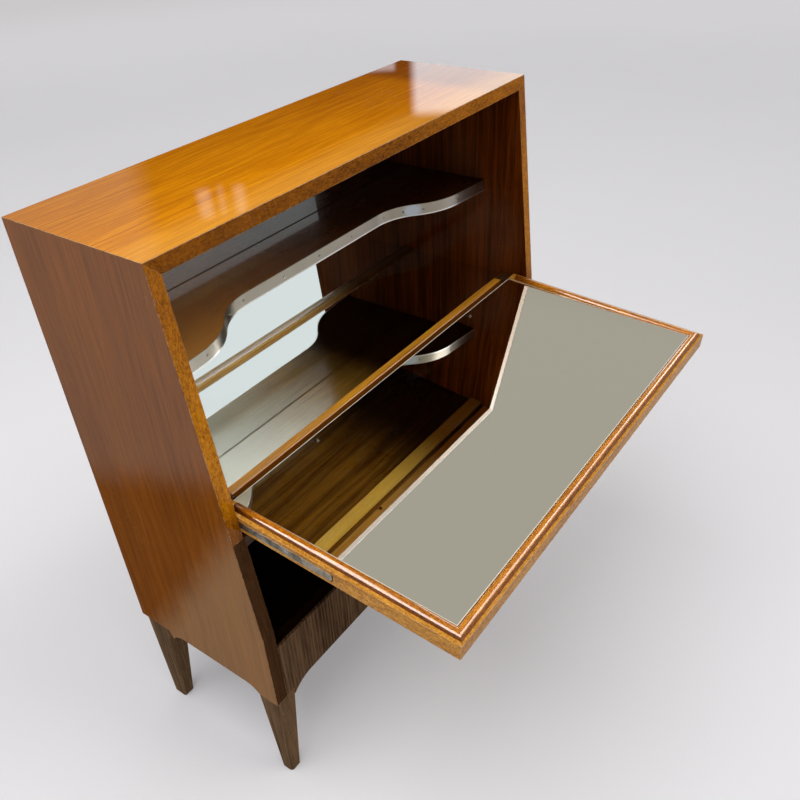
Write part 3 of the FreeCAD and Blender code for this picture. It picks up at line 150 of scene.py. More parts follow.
def build_veneer():
    """Ribbon-striped mahogany with its grain along the vector's X axis, in metres."""
    tree, takes, gives = group("veneer figure", [
        ("Grain Vector", VECTOR, None),
        ("Light", COLOUR, tone(190, 105, 40)), ("Dark", COLOUR, tone(120, 55, 20)),
        ("Ribbon", FLOAT, 0.5), ("Ribbon Scale", FLOAT, 1.0), ("Pores", FLOAT, 0.5), ("Stripe", FLOAT, 0.0)],
        [("Color", COLOUR), ("Height", FLOAT)])
    where = takes["Grain Vector"]
    wobble = noise(tree, scaled(tree, where, 2.0, 7.0, 7.0), 1.0, 2.0)
    shift = add_node(tree, "ShaderNodeCombineXYZ", {0: 0.0, 1: calc(tree, "MULTIPLY", wobble, 0.02), 2: 0.0})
    bent = add_node(tree, "ShaderNodeVectorMath", {0: where, 1: shift.outputs[0]}, operation="ADD").outputs[0]
    # broad bands, fine streaks, and a ribbon figure whose stripes break up along the grain
    bands = noise(tree, scaled(tree, bent, 0.5, 30.0, 30.0), 1.0, 3.0, 0.6)
    streaks = noise(tree, scaled(tree, bent, 11.0, 420.0, 420.0), 1.0, 3.0, 0.7)
    ribbon_place = add_node(tree, "ShaderNodeVectorMath", {
        0: scaled(tree, bent, 3.5, 95.0, 95.0), "Scale": takes["Ribbon Scale"]}, operation="SCALE").outputs[0]
    ribbons = noise(tree, ribbon_place, 1.0, 1.0, 0.5, 0.4)
    flecks = noise(tree, scaled(tree, where, 90.0, 1500.0, 1500.0), 1.0, 1.0)
    pores = stretch(tree, flecks, 0.60, 0.72)
    clouds = noise(tree, scaled(tree, where, 3.0, 8.0, 8.0), 1.0, 2.0)
    shade = calc(tree, "MULTIPLY", stretch(tree, bands, 0.32, 0.68), 0.30)
    shade = calc(tree, "MULTIPLY_ADD", stretch(tree, streaks, 0.38, 0.62), 0.50, shade)
    shade = calc(tree, "MULTIPLY_ADD", stretch(tree, clouds, 0.3, 0.7), 0.20, shade)
    ribbon = calc(tree, "SUBTRACT", stretch(tree, ribbons, 0.35, 0.65), 0.5)
    ribbon = calc(tree, "MULTIPLY", ribbon, takes["Ribbon"])
    shade = calc(tree, "ADD", shade, ribbon)
    # stripes of an uneven width, for a cross-cut facing
    parts = add_node(tree, "ShaderNodeSeparateXYZ", {0: bent}).outputs
    across = calc(tree, "ADD", parts["Y"], parts["Z"])
    turn = calc(tree, "MULTIPLY_ADD", bands, 9.0, calc(tree, "MULTIPLY", across, 2 * math.pi / STRIPE_STEP))
    wave = calc(tree, "MULTIPLY", calc(tree, "SINE", turn), takes["Stripe"])
    shade = calc(tree, "ADD", shade, wave, clamp=True)
    colour = blend_colours(tree, shade, takes["Light"], takes["Dark"])
    deep = blend_colours(tree, 1.0, takes["Dark"], (0.45, 0.38, 0.35, 1.0), "MULTIPLY")
    colour = blend_colours(tree, calc(tree, "MULTIPLY", pores, takes["Pores"]), colour, deep)
    tree.links.new(colour, gives["Color"])
    hollow = calc(tree, "MULTIPLY", pores, -1.0)
    tree.links.new(calc(tree, "MULTIPLY_ADD", streaks, 0.3, hollow), gives["Height"])
    return tree


def build_burr():
    """Mottled, speckled wood of the lippings: blurred clouds, dark flecks and golden glints."""
    tree, takes, gives = group("mottled figure", [
        ("Grain Vector", VECTOR, None),
        ("Light", COLOUR, tone(200, 130, 60)), ("Dark", COLOUR, tone(120, 60, 20)),
        ("Fleck", FLOAT, 0.6)], [("Color", COLOUR), ("Height", FLOAT)])
    where = takes["Grain Vector"]
    clouds = noise(tree, scaled(tree, where, 16.0, 60.0, 60.0), 1.0, 3.0, 0.6, 0.6)
    mottle = noise(tree, scaled(tree, where, 170.0, 380.0, 380.0), 1.0, 3.0, 0.65, 1.0)
    specks = noise(tree, scaled(tree, where, 400.0, 850.0, 850.0), 1.0, 2.0, 0.5)
    shade = calc(tree, "MULTIPLY", stretch(tree, clouds, 0.32, 0.68), 0.35)
    shade = calc(tree, "MULTIPLY_ADD", stretch(tree, mottle, 0.40, 0.60), 0.65, shade, clamp=True)
    colour = blend_colours(tree, shade, takes["Light"], takes["Dark"])
    dark = calc(tree, "MULTIPLY", stretch(tree, specks, 0.58, 0.72), takes["Fleck"])
    deep = blend_colours(tree, 1.0, takes["Dark"], (0.40, 0.32, 0.28, 1.0), "MULTIPLY")
    colour = blend_colours(tree, dark, colour, deep)
    tree.links.new(colour, gives["Color"])
    tree.links.new(calc(tree, "SUBTRACT", mottle, specks), gives["Height"])
    return tree


def build_arris():
    """Softened edges, and a mask of where the lacquer has been rubbed off them."""
    tree, takes, gives = group("worn arris", [("Radius", FLOAT, 0.001), ("Grain Vector", VECTOR, None)],
                               [("Normal", VECTOR), ("Edge", FLOAT), ("Worn", FLOAT)])
    soft = add_node(tree, "ShaderNodeBevel", {"Radius": takes["Radius"]}, samples=4).outputs[0]
    sharp = add_node(tree, "ShaderNodeNewGeometry").outputs["True Normal"]
    agree = add_node(tree, "ShaderNodeVectorMath", {0: soft, 1: sharp}, operation="DOT_PRODUCT")
    edge = stretch(tree, agree.outputs["Value"], 0.995, 0.86)
    patches = noise(tree, scaled(tree, takes["Grain Vector"], 60.0, 60.0, 60.0), 1.0, 4.0, 0.7)
    tree.links.new(soft, gives["Normal"])
    tree.links.new(edge, gives["Edge"])
    tree.links.new(calc(tree, "MULTIPLY", edge, stretch(tree, patches, 0.46, 0.56)), gives["Worn"])
    return tree


def build_handling():
    """Age on a lacquered face: broad dull patches and fine scratches."""
    tree, takes, gives = group("handled lacquer", [("Grain Vector", VECTOR, None), ("Amount", FLOAT, 0.5)],
                               [("Dullness", FLOAT), ("Scratch", FLOAT)])
    where = takes["Grain Vector"]
    patches = noise(tree, where, 7.0, 4.0, 0.6, 0.4)
    smears = noise(tree, scaled(tree, where, 8.0, 45.0, 30.0), 1.0, 3.0, 0.6)
    dull = calc(tree, "MULTIPLY_ADD", stretch(tree, patches, 0.4, 0.7), 0.6,
                calc(tree, "MULTIPLY", stretch(tree, smears, 0.5, 0.75), 0.4))
    lines = add_node(tree, "ShaderNodeTexVoronoi", {
        "Vector": scaled(tree, where, 22.0, 120.0, 75.0), "Scale": 1.0},
        feature="DISTANCE_TO_EDGE").outputs["Distance"]
    scratch = calc(tree, "MULTIPLY", stretch(tree, lines, 0.012, 0.0), stretch(tree, patches, 0.55, 0.7))
    tree.links.new(calc(tree, "MULTIPLY", dull, takes["Amount"]), gives["Dullness"])
    tree.links.new(calc(tree, "MULTIPLY", scratch, takes["Amount"]), gives["Scratch"])
    return tree


def build_slope():
    """A mask that rises from Start to Finish along a direction, with an uneven border."""
    tree, takes, gives = group("slope mask", [
        ("Place", VECTOR, None), ("Direction", VECTOR, (1.0, 0.0, 0.0)), ("Start", FLOAT, 0.0),
        ("Finish", FLOAT, 1.0), ("Uneven", FLOAT, 0.0)], [("Mask", FLOAT)])
    along = add_node(tree, "ShaderNodeVectorMath", {0: takes["Place"], 1: takes["Direction"]},
                     operation="DOT_PRODUCT").outputs["Value"]
    clouds = calc(tree, "SUBTRACT", noise(tree, takes["Place"], 14.0, 4.0, 0.6), 0.5)
    along = calc(tree, "MULTIPLY_ADD", clouds, takes["Uneven"], along)
    tree.links.new(stretch(tree, along, takes["Start"], takes["Finish"], 0.0, 1.0, True), gives["Mask"])
    return tree


def build_patch():
    """A mask of one soft, uneven patch around a point."""
    tree, takes, gives = group("patch mask", [
        ("Place", VECTOR, None), ("Middle", VECTOR, (0.0, 0.0, 0.0)), ("Reach", VECTOR, (0.01, 0.01, 0.01)),
        ("Blur", FLOAT, 0.5), ("Uneven", FLOAT, 0.3)], [("Mask", FLOAT)])
    away = add_node(tree, "ShaderNodeVectorMath", {
        0: takes["Place"], 1: takes["Middle"]}, operation="SUBTRACT")
    away = add_node(tree, "ShaderNodeVectorMath", {0: away.outputs[0], 1: takes["Reach"]}, operation="DIVIDE")
    length = add_node(tree, "ShaderNodeVectorMath", {0: away.outputs[0]}, operation="LENGTH").outputs["Value"]
    ragged = calc(tree, "SUBTRACT", noise(tree, away.outputs[0], 3.0, 4.0, 0.6), 0.5)
    length = calc(tree, "MULTIPLY_ADD", ragged, takes["Uneven"], length)
    outer = calc(tree, "ADD", 1.0, takes["Blur"])
    inner = calc(tree, "SUBTRACT", 1.0, takes["Blur"])
    tree.links.new(stretch(tree, length, outer, inner, 0.0, 1.0, True), gives["Mask"])
    return tree


def build_brushing():
    """Fine parallel brush lines across the vector's Z axis, with smudges."""
    tree, takes, gives = group("brushed metal", [("Place", VECTOR, None), ("Lines", FLOAT, 1500.0)],
                               [("Line", FLOAT), ("Smudge", FLOAT)])
    where = takes["Place"]
    parts = add_node(tree, "ShaderNodeSeparateXYZ", {0: where}).outputs
    fine = add_node(tree, "ShaderNodeCombineXYZ", {
        0: calc(tree, "MULTIPLY", parts["X"], 9.0), 1: calc(tree, "MULTIPLY", parts["Y"], 9.0),
        2: calc(tree, "MULTIPLY", parts["Z"], takes["Lines"])}).outputs[0]
    tree.links.new(noise(tree, fine, 1.0, 2.0, 0.6), gives["Line"])
    tree.links.new(noise(tree, where, 45.0, 4.0, 0.65, 0.5), gives["Smudge"])
    return tree


VENEER = build_veneer()
BURR = build_burr()
ARRIS = build_arris()
HANDLED = build_handling()
BRUSHED = build_brushing()
SLOPE = build_slope()
PATCH = build_patch()


# ---- finishes ------------------------------------------------------------------------------------

ALONG_X = (0.0, 0.0, 0.0)
ALONG_Y = (0.0, 0.0, math.pi / 2)
ALONG_Z = (0.0, math.pi / 2, 0.0)

# directions in the part's frame, for masks and for the sides of boards
TO_RIGHT = (1.0, 0.0, 0.0)
TO_LEFT = (-1.0, 0.0, 0.0)
TO_BACK = (0.0, 1.0, 0.0)
TO_FRONT = (0.0, -1.0, 0.0)
UPWARD = (0.0, 0.0, 1.0)
DOWNWARD = (0.0, 0.0, -1.0)


def new_material(name):
    material = bpy.data.materials.new(name)
    material.use_nodes = True
    tree = material.node_tree
    return material, tree, tree.nodes["Principled BSDF"]


def place_in_object(tree, turn=ALONG_X):
    place = add_node(tree, "ShaderNodeTexCoord").outputs["Object"]
    return add_node(tree, "ShaderNodeMapping", {"Vector": place, "Rotation": turn}).outputs[0]


def use(tree, which, **inputs):
    """Places a shared effect in a material; underscores in a socket's name stand for spaces."""
    node = add_node(tree, "ShaderNodeGroup", node_tree=which)
    for name, value in inputs.items():
        socket = node.inputs[name.replace("_", " ")]
        if isinstance(value, bpy.types.NodeSocket):
            tree.links.new(value, socket)
        else:
            socket.default_value = value
    return node.outputs


def set_shader(tree, shader, sockets):
    for name, value in sockets.items():
        if isinstance(value, bpy.types.NodeSocket):
            tree.links.new(value, shader.inputs[name])
        else:
            shader.inputs[name].default_value = value


def slope(direction, start, finish, uneven=0.0):
    """A mask that rises along a direction between two distances from the origin, in metres."""
    return lambda tree, place: use(tree, SLOPE, Place=place, Direction=direction, Start=start, Finish=finish,
                                   Uneven=uneven)["Mask"]


def reach(node, direction):
    """How far a CAD node reaches along a direction, in metres from the origin."""
    return max(vertex.co.dot(Vector(direction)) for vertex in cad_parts[node].data.vertices)


def rim(node, direction, start, finish, uneven=0.0):
    """A mask that rises toward a node's end, between two distances short of that end, in metres."""
    end = reach(node, direction)
    return slope(direction, end - start, end - finish, uneven)


def patch(middle, reach):
    return lambda tree, place: use(tree, PATCH, Place=place, Middle=middle, Reach=reach)["Mask"]


def paint(tree, colour, layers):
    """Lays tints over a colour, mostly painted shade, painted light and painted reflections; each layer is a
    mask, a tint, an amount and how they blend.
    """
    place = add_node(tree, "ShaderNodeTexCoord").outputs["Object"]
    for mask, tint, amount, blend in layers:
        colour = blend_colours(tree, calc(tree, "MULTIPLY", mask(tree, place), amount), colour, tint, blend)
    return colour


def wood(name, light, dark, turn, figure="veneer", ribbon=0.4, ribbon_scale=1.0, stripe=0.0, pores=0.35,
         gloss=0.22, coat=0.5, coat_gloss=0.05, coat_ior=1.5, coat_mask=None, edge=0.0010,
         wear=0.5, worn=tone(214, 170, 120), specular=0.15, edge_dark=0.45, painted_edge_highlight=0.0, layers=()):
    """Lacquered wood; turn brings the grain onto X, and layers are tints painted over the figure, mostly
    painted shade, painted light and painted reflections.

    figure is "veneer" or "burr", edge the radius of the softened arris in metres, and edge_dark,
    painted_edge_highlight and wear say how much the arris is darkened, paled by a painted highlight and
    rubbed bare;
    worn is the colour of both the painted highlight and the bare wood."""
    material, tree, shader = new_material(name)
    grain = place_in_object(tree, turn)
    if figure == "veneer":
        figured = use(tree, VENEER, Grain_Vector=grain, Light=light, Dark=dark, Ribbon=ribbon,
                      Ribbon_Scale=ribbon_scale, Stripe=stripe, Pores=pores)
    else:
        figured = use(tree, BURR, Grain_Vector=grain, Light=light, Dark=dark)
    arris = use(tree, ARRIS, Radius=edge, Grain_Vector=grain)
    handled = use(tree, HANDLED, Grain_Vector=grain, Amount=1.0)
    colour = paint(tree, figured["Color"], layers)
    darker = blend_colours(tree, 1.0, colour, (0.42, 0.34, 0.30, 1.0), "MULTIPLY")
    colour = blend_colours(tree, calc(tree, "MULTIPLY", arris["Edge"], edge_dark), colour, darker)
    # a painted highlight along the arrises, in the colour of the bare wood
    if painted_edge_highlight:
        colour = blend_colours(tree, calc(tree, "MULTIPLY", arris["Edge"], painted_edge_highlight), colour, worn)
    colour = blend_colours(tree, calc(tree, "MULTIPLY", arris["Worn"], wear), colour, worn)
    colour = blend_colours(tree, calc(tree, "MULTIPLY", handled["Scratch"], 0.2), colour, worn)
    bump = add_node(tree, "ShaderNodeBump", {
        "Height": figured["Height"], "Strength": 0.10, "Distance": 0.0003, "Normal": arris["Normal"]})
    rough = stretch(tree, handled["Dullness"], 0.0, 1.0, gloss, gloss + 0.15)
    if coat_mask:
        coat = calc(tree, "MULTIPLY", coat_mask(tree, place_in_object(tree)), coat)
    set_shader(tree, shader, {
        "Base Color": colour, "Normal": bump.outputs[0], "Roughness": rough, "Specular IOR Level": specular,
        "Coat Roughness": coat_gloss, "Coat IOR": coat_ior, "Coat Weight": coat})
    return material


# distances from the edge of the flap's glass between which its ground border appears, in metres
GROUND_REAR = (0.0017, 0.0013)
GROUND_SIDES = (0.0012, 0.0008)
GROUND_FRONT = (0.0015, 0.0011)


def mirror(name, tint, ground=None):
    """Silvered glass with faint smudges and specks; ground names a CAD node whose border is ground."""
    material, tree, shader = new_material(name)
    place = place_in_object(tree)
    smudge = stretch(tree, noise(tree, place, 18.0, 4.0, 0.65, 0.6), 0.60, 0.78)
    specks = stretch(tree, noise(tree, place, 420.0, 1.0, 0.5), 0.78, 0.81)
    dirt = calc(tree, "MULTIPLY_ADD", smudge, 0.10, calc(tree, "MULTIPLY", specks, 0.6), clamp=True)
    colour = blend_colours(tree, calc(tree, "MULTIPLY", dirt, 0.35), tint, tone(150, 146, 138))
    silver = stretch(tree, dirt, 0.0, 1.0, 1.0, 0.9)
    if ground:
        # the ground border of the glass shows pale, most of all along the rear
        where = add_node(tree, "ShaderNodeTexCoord").outputs["Object"]
        parts = add_node(tree, "ShaderNodeSeparateXYZ", {0: where}).outputs
        rear_start, rear_finish = (reach(ground, TO_BACK) - width for width in GROUND_REAR)
        rear = stretch(tree, parts["Y"], rear_start, rear_finish)
        side_start, side_finish = (reach(ground, TO_RIGHT) - width for width in GROUND_SIDES)
        sides = stretch(tree, calc(tree, "ABSOLUTE", parts["X"]), side_start, side_finish)
        front_start, front_finish = (width - reach(ground, TO_FRONT) for width in GROUND_FRONT)
        front = stretch(tree, parts["Y"], front_start, front_finish)
        border = calc(tree, "MULTIPLY", calc(tree, "MAXIMUM", sides, front), 0.8)
        border = calc(tree, "MAXIMUM", border, rear)
        colour = blend_colours(tree, border, colour, tone(226, 214, 190))
        silver = calc(tree, "MULTIPLY", silver, calc(tree, "SUBTRACT", 1.0, border))
    set_shader(tree, shader, {
        "Base Color": colour, "Metallic": silver, "Roughness": stretch(tree, dirt, 0.0, 1.0, 0.012, 0.09)})
    return material


def metal(name, colour, dark, gloss, lines, wear, edge=0.5, dulling=0.2, layers=()):
    """Brushed or dulled metal; lines is how closely it is brushed, wear how stained it is, and edge how
    strongly a painted highlight pales its arrises.
    """
    material, tree, shader = new_material(name)
    place = place_in_object(tree)
    brushed = use(tree, BRUSHED, Place=place, Lines=lines)
    arris = use(tree, ARRIS, Radius=0.0005, Grain_Vector=place)
    stain = stretch(tree, brushed["Smudge"], 0.42, 0.66)
    shade = calc(tree, "MULTIPLY_ADD", brushed["Line"], 0.3, calc(tree, "MULTIPLY", stain, wear), clamp=True)
    body = paint(tree, blend_colours(tree, shade, colour, dark), layers)
    # a painted highlight along the arrises, near white
    body = blend_colours(tree, calc(tree, "MULTIPLY", arris["Edge"], edge), body, tone(235, 236, 238))
    bump = add_node(tree, "ShaderNodeBump", {"Height": brushed["Line"], "Strength": 0.08, "Distance": 0.0002})
    if edge:
        tree.links.new(arris["Normal"], bump.inputs["Normal"])
    set_shader(tree, shader, {
        "Base Color": body, "Metallic": 1.0, "Normal": bump.outputs[0],
        "Roughness": stretch(tree, stain, 0.0, 1.0, gloss, gloss + dulling)})
    return material


# wood at the arrises of the lippings, and of the top and the nosing, where the lacquer is gone; the same
# colours also give the painted highlight along the arrises of the top, its lipping and the flap's edges
WORN_AND_HIGHLIGHT = tone(236, 208, 168)
BARE_AND_HIGHLIGHT = tone(240, 214, 170)
# layers paint paler and darker regions over a finish, at fixed places on the cabinet, in metres; most are
# painted shade, painted light and painted reflections
TOP = wood("top veneer", tone(208, 131, 2), tone(176, 102, 1), ALONG_X, ribbon=0.7, ribbon_scale=2.6,
           gloss=0.3, coat=0.6, coat_gloss=0.015, specular=0.0, edge=0.0014, wear=0.5, edge_dark=0.05,
           painted_edge_highlight=0.3, worn=BARE_AND_HIGHLIGHT, layers=[
               # painted shade toward the back and toward the right, a darker painted shade tinted blue at the
               # right end where a window's reflection lies, a paler band toward the front, and a painted
               # highlight along the arrises
               (slope(TO_BACK, 0.12, 0.34, 0.04), (0.76, 0.72, 0.70, 1.0), 1.0, "MULTIPLY"),
               (slope(TO_RIGHT, -0.10, 0.30, 0.05), (0.82, 0.74, 0.74, 1.0), 1.0, "MULTIPLY"),
               (slope(TO_RIGHT, 0.30, 0.36, 0.0), (0.62, 0.52, 0.9, 1.0), 1.0, "MULTIPLY"),
               (slope(TO_FRONT, -0.15, -0.08, 0.04), tone(240, 180, 80), 0.25, "MIX")])
SIDE = wood("side veneer", tone(140, 78, 12), tone(102, 52, 4), ALONG_Z, ribbon=0.3, ribbon_scale=1.4,
            gloss=0.35, coat=0.05, coat_gloss=0.12, specular=0.0, edge=0.0014, wear=0.5, layers=[
                # painted reflections: a pale haze over the upper part of the side and toward its lower front
                (slope((0.0, 0.4, 1.0), 0.66, 0.75, 0.06), tone(215, 205, 195), 0.09, "MIX"),
                (slope((0.0, -1.0, -0.73), -0.50, -0.40, 0.05), tone(225, 205, 165), 0.17, "MIX")])
INNER = wood("inner upright veneer", tone(110, 50, 5), tone(54, 20, 2), ALONG_Z, ribbon=0.5,
             gloss=0.25, coat=0.15, specular=0.0, wear=0.1, layers=[
                 # two faint pale patches of painted light on the inner walls
                 (patch((0.428, 0.115, 0.690), (1.0, 0.06, 0.075)), tone(190, 190, 176), 0.02, "MIX"),
                 (patch((0.428, 0.190, 0.790), (1.0, 0.05, 0.09)), tone(200, 170, 120), 0.03, "MIX")])
SHELF = wood("shelf veneer", tone(140, 84, 20), tone(88, 46, 8), ALONG_X, ribbon=0.4, gloss=0.25, coat=0.5,
             specular=0.1, wear=0.1, layers=[
                 # painted shade toward the right, and painted light toward the left where light enters the
                 # bar
                 (slope(TO_RIGHT, -0.16, 0.20, 0.05), (0.14, 0.08, 0.08, 1.0), 1.0, "MULTIPLY"),
                 (slope(TO_LEFT, -0.02, 0.40, 0.05), tone(226, 160, 76), 0.7, "MIX")])
SHELF_UNDER = wood("shelf underside", tone(200, 150, 66), tone(150, 100, 30), ALONG_X, ribbon=0.2,
                   gloss=0.3, coat=0.85, coat_gloss=0.14, coat_ior=2.0, specular=0.0, wear=0.0,
                   coat_mask=slope(TO_LEFT, -0.28, 0.06, 0.04), layers=[
                       # painted shade toward the right, and a pale painted reflection toward the left
                       (slope(TO_RIGHT, 0.04, 0.23, 0.05), (0.05, 0.03, 0.02, 1.0), 1.0, "MULTIPLY"),
                       (slope(TO_LEFT, -0.10, 0.26, 0.05), tone(248, 244, 228), 0.90, "MIX")])
CEILING = wood("ceiling veneer", tone(160, 108, 34), tone(92, 54, 10), ALONG_X, ribbon=0.8, ribbon_scale=0.5,
               gloss=0.25, coat=0.3, specular=0.1, wear=0.1, layers=[
                   # painted shade toward the right
                   (slope(TO_RIGHT, 0.02, 0.26, 0.05), (0.08, 0.05, 0.04, 1.0), 1.0, "MULTIPLY")])
# near black: painted shade inside the lower compartment
NICHE = wood("lower compartment veneer", tone(16, 6, 2), tone(8, 3, 1), ALONG_X, gloss=0.35, coat=0.0,
             specular=0.03, wear=0.1)
BACKING = wood("back board", tone(128, 92, 58), tone(92, 62, 36), ALONG_Z, gloss=0.6, coat=0.0, wear=0.2)
LIPPING = wood("lipping wood", tone(186, 112, 10), tone(106, 58, 3), ALONG_X, "burr", gloss=0.25, coat=0.2,
               specular=0.0, wear=0.6, edge_dark=0.1, painted_edge_highlight=0.15, worn=WORN_AND_HIGHLIGHT, layers=[
                   # painted shade toward the left, and a painted highlight along the arrises
                   (slope(TO_LEFT, -0.25, 0.02, 0.06), (0.60, 0.56, 0.56, 1.0), 1.0, "MULTIPLY")])
LIPPING_UP = wood("upright lipping wood", tone(206, 132, 16), tone(130, 74, 4), ALONG_Z, "burr", gloss=0.25,
                  coat=0.3, specular=0.0, wear=0.6, edge_dark=0.2, worn=WORN_AND_HIGHLIGHT, layers=[
                      # painted shadow of the open flap over the lower end, and painted shade toward the top
                      (slope(DOWNWARD, -0.66, -0.585, 0.02), (0.42, 0.32, 0.28, 1.0), 0.9, "MULTIPLY"),
                      (slope(UPWARD, 0.82, 0.94, 0.03), (0.70, 0.62, 0.50, 1.0), 1.0, "MULTIPLY")])
LIPPING_LOW = wood("lipping underside", tone(226, 176, 96), tone(190, 132, 50), ALONG_X, gloss=0.3, coat=0.2,
                   specular=0.0, wear=0.2, layers=[
                       # painted shade toward the right
                       (slope(TO_RIGHT, -0.05, 0.28, 0.04), (0.20, 0.10, 0.05, 1.0), 1.0, "MULTIPLY")])
BEAD = wood("bead wood", tone(224, 146, 44), tone(142, 78, 16), ALONG_X, "burr", gloss=0.25, coat=1.0,
            coat_gloss=0.03, specular=0.05, wear=0.2, edge_dark=0.1, layers=[
                # painted shade on the bead's outer slope
                (rim("bead_front", TO_FRONT, 0.0041, 0.0024), (0.34, 0.26, 0.20, 1.0), 0.9, "MULTIPLY")])
BEAD_SIDE = wood("side bead wood", tone(216, 134, 30), tone(126, 66, 10), ALONG_Y, "burr", gloss=0.25,
                 coat=1.0, coat_gloss=0.03, specular=0.05, wear=0.2, edge_dark=0.1, layers=[
                     # painted shade on the side beads' outer slopes, and painted shadow toward their rear
                     # ends by the hinge
                     (rim("bead_left", TO_LEFT, 0.0040, 0.0024), (0.34, 0.26, 0.20, 1.0), 0.9, "MULTIPLY"),
                     (rim("bead_right", TO_RIGHT, 0.0040, 0.0024), (0.34, 0.26, 0.20, 1.0), 0.9, "MULTIPLY"),
                     (rim("bead_left", TO_BACK, 0.055, 0.005, 0.02), (0.30, 0.20, 0.16, 1.0), 0.9,
                      "MULTIPLY")])
# the flap's edges carry a painted highlight along their arrises
FLAP_FRONT = wood("flap edge wood", tone(216, 154, 66), tone(140, 86, 24), ALONG_X, "burr", gloss=0.25,
                  coat=0.4, specular=0.0, wear=0.9, edge_dark=0.0, painted_edge_highlight=0.35, worn=WORN_AND_HIGHLIGHT)
FLAP_SIDE = wood("flap end wood", tone(222, 158, 62), tone(146, 90, 20), ALONG_Y, "burr", gloss=0.25,
                 coat=0.4, specular=0.0, wear=0.9, edge_dark=0.0, painted_edge_highlight=0.35, worn=WORN_AND_HIGHLIGHT)
FLAP_FACE = wood("flap veneer", tone(150, 86, 20), tone(106, 54, 8), ALONG_X, ribbon=0.5, ribbon_scale=1.4,
                 gloss=0.3, coat=0.3, coat_gloss=0.06, specular=0.0, edge=0.0014, wear=0.4)
LEG = wood("leg wood", tone(126, 98, 70), tone(72, 53, 35), ALONG_Z, ribbon=0.3, pores=0.6, gloss=0.4,
           coat=0.06, specular=0.0, edge=0.0016, wear=0.5)
# darker and browner than the upright lipping above: partly its own wood, partly painted shade under the open
# flap
STILE = wood("stile wood", tone(87, 59, 36), tone(57, 36, 20), ALONG_Z, ribbon=0.2, pores=0.6, gloss=0.4,
             coat=0.0, specular=0.0, wear=0.4)
FACING = wood("apron facing", tone(118, 90, 64), tone(52, 36, 22), ALONG_Z, ribbon=0.25, stripe=0.18,
              gloss=0.4, coat=0.04, specular=0.0, wear=0.4)
APRON = wood("apron wood", tone(30, 14, 6), tone(16, 7, 3), ALONG_X, gloss=0.4, coat=0.0, specular=0.0,
             wear=0.1)
RAIL = wood("rail wood", tone(84, 52, 24), tone(50, 28, 12), ALONG_X, pores=0.5, gloss=0.35, coat=0.1,
            specular=0.1, wear=0.3)
NOSING = wood("nosing wood", tone(212, 150, 44), tone(150, 90, 18), ALONG_X, gloss=0.25, coat=1.0, wear=0.9,
              specular=0.05, edge_dark=0.0, worn=BARE_AND_HIGHLIGHT, layers=[
                  # painted shade on the nosing's front face
                  (rim("deck_nosing", TO_FRONT, 0.0015, 0.0005), (0.46, 0.30, 0.24, 1.0), 1.0, "MULTIPLY")])
MOULDING = wood("moulding wood", tone(230, 194, 118), tone(200, 150, 74), ALONG_X, gloss=0.25, coat=0.8,
                wear=0.3, specular=0.1, layers=[
                    # a painted shade line and a painted highlight band along the back, painted shade on the
                    # front, and painted shade toward the right
                    (rim("back_moulding", TO_BACK, 0.0052, 0.0048), (0.28, 0.14, 0.10, 1.0), 1.0, "MULTIPLY"),
                    (rim("back_moulding", TO_BACK, 0.0043, 0.0039), tone(236, 214, 190), 0.9, "MIX"),
                    (rim("back_moulding", TO_FRONT, 0.0056, 0.0050), (0.80, 0.70, 0.62, 1.0), 1.0,
                     "MULTIPLY"),
                    (slope(TO_RIGHT, -0.02, 0.24, 0.05), (0.10, 0.06, 0.04, 1.0), 1.0, "MULTIPLY")])
BATTEN = wood("batten wood", tone(255, 216, 104), tone(250, 190, 64), ALONG_X, gloss=0.3, coat=0.2,
              specular=0.1, wear=0.1, layers=[
                  # painted shade toward the right
                  (slope(TO_RIGHT, 0.02, 0.28, 0.03), (0.16, 0.09, 0.05, 1.0), 1.0, "MULTIPLY")])
GLASS = mirror("silvered glass", tone(232, 236, 234))
FLAP_GLASS = mirror("flap silvered glass", tone(234, 235, 228), ground="flap_mirror")
ALUMINIUM = metal("aluminium", tone(178, 171, 160), tone(150, 144, 136), 0.28, 420.0, 0.1, edge=0.0,
                  dulling=0.03, layers=[
                      # a painted highlight along the strip's lower edge, painted light at its left end, and a
                      # bluish painted highlight in one spot
                      (rim("shelf_strip", DOWNWARD, 0.0032, 0.0018), tone(246, 247, 250), 0.85, "MIX"),
                      (slope(TO_LEFT, 0.35, 0.41), tone(232, 226, 216), 0.5, "MIX"),
                      (patch((0.248, 0.185, 0.789), (0.014, 0.03, 0.012)), tone(206, 220, 240), 0.8, "MIX")])
STEEL = metal("dull steel", tone(158, 152, 136), tone(96, 92, 82), 0.38, 900.0, 0.9)
SCREW = metal("screw steel", tone(150, 146, 142), tone(70, 66, 64), 0.3, 900.0, 0.6)
CLIP = metal("old nickel", tone(92, 78, 60), tone(50, 42, 34), 0.35, 900.0, 0.6)
BRASS = metal("old brass", tone(180, 140, 76), tone(96, 70, 34), 0.32, 900.0, 0.7)

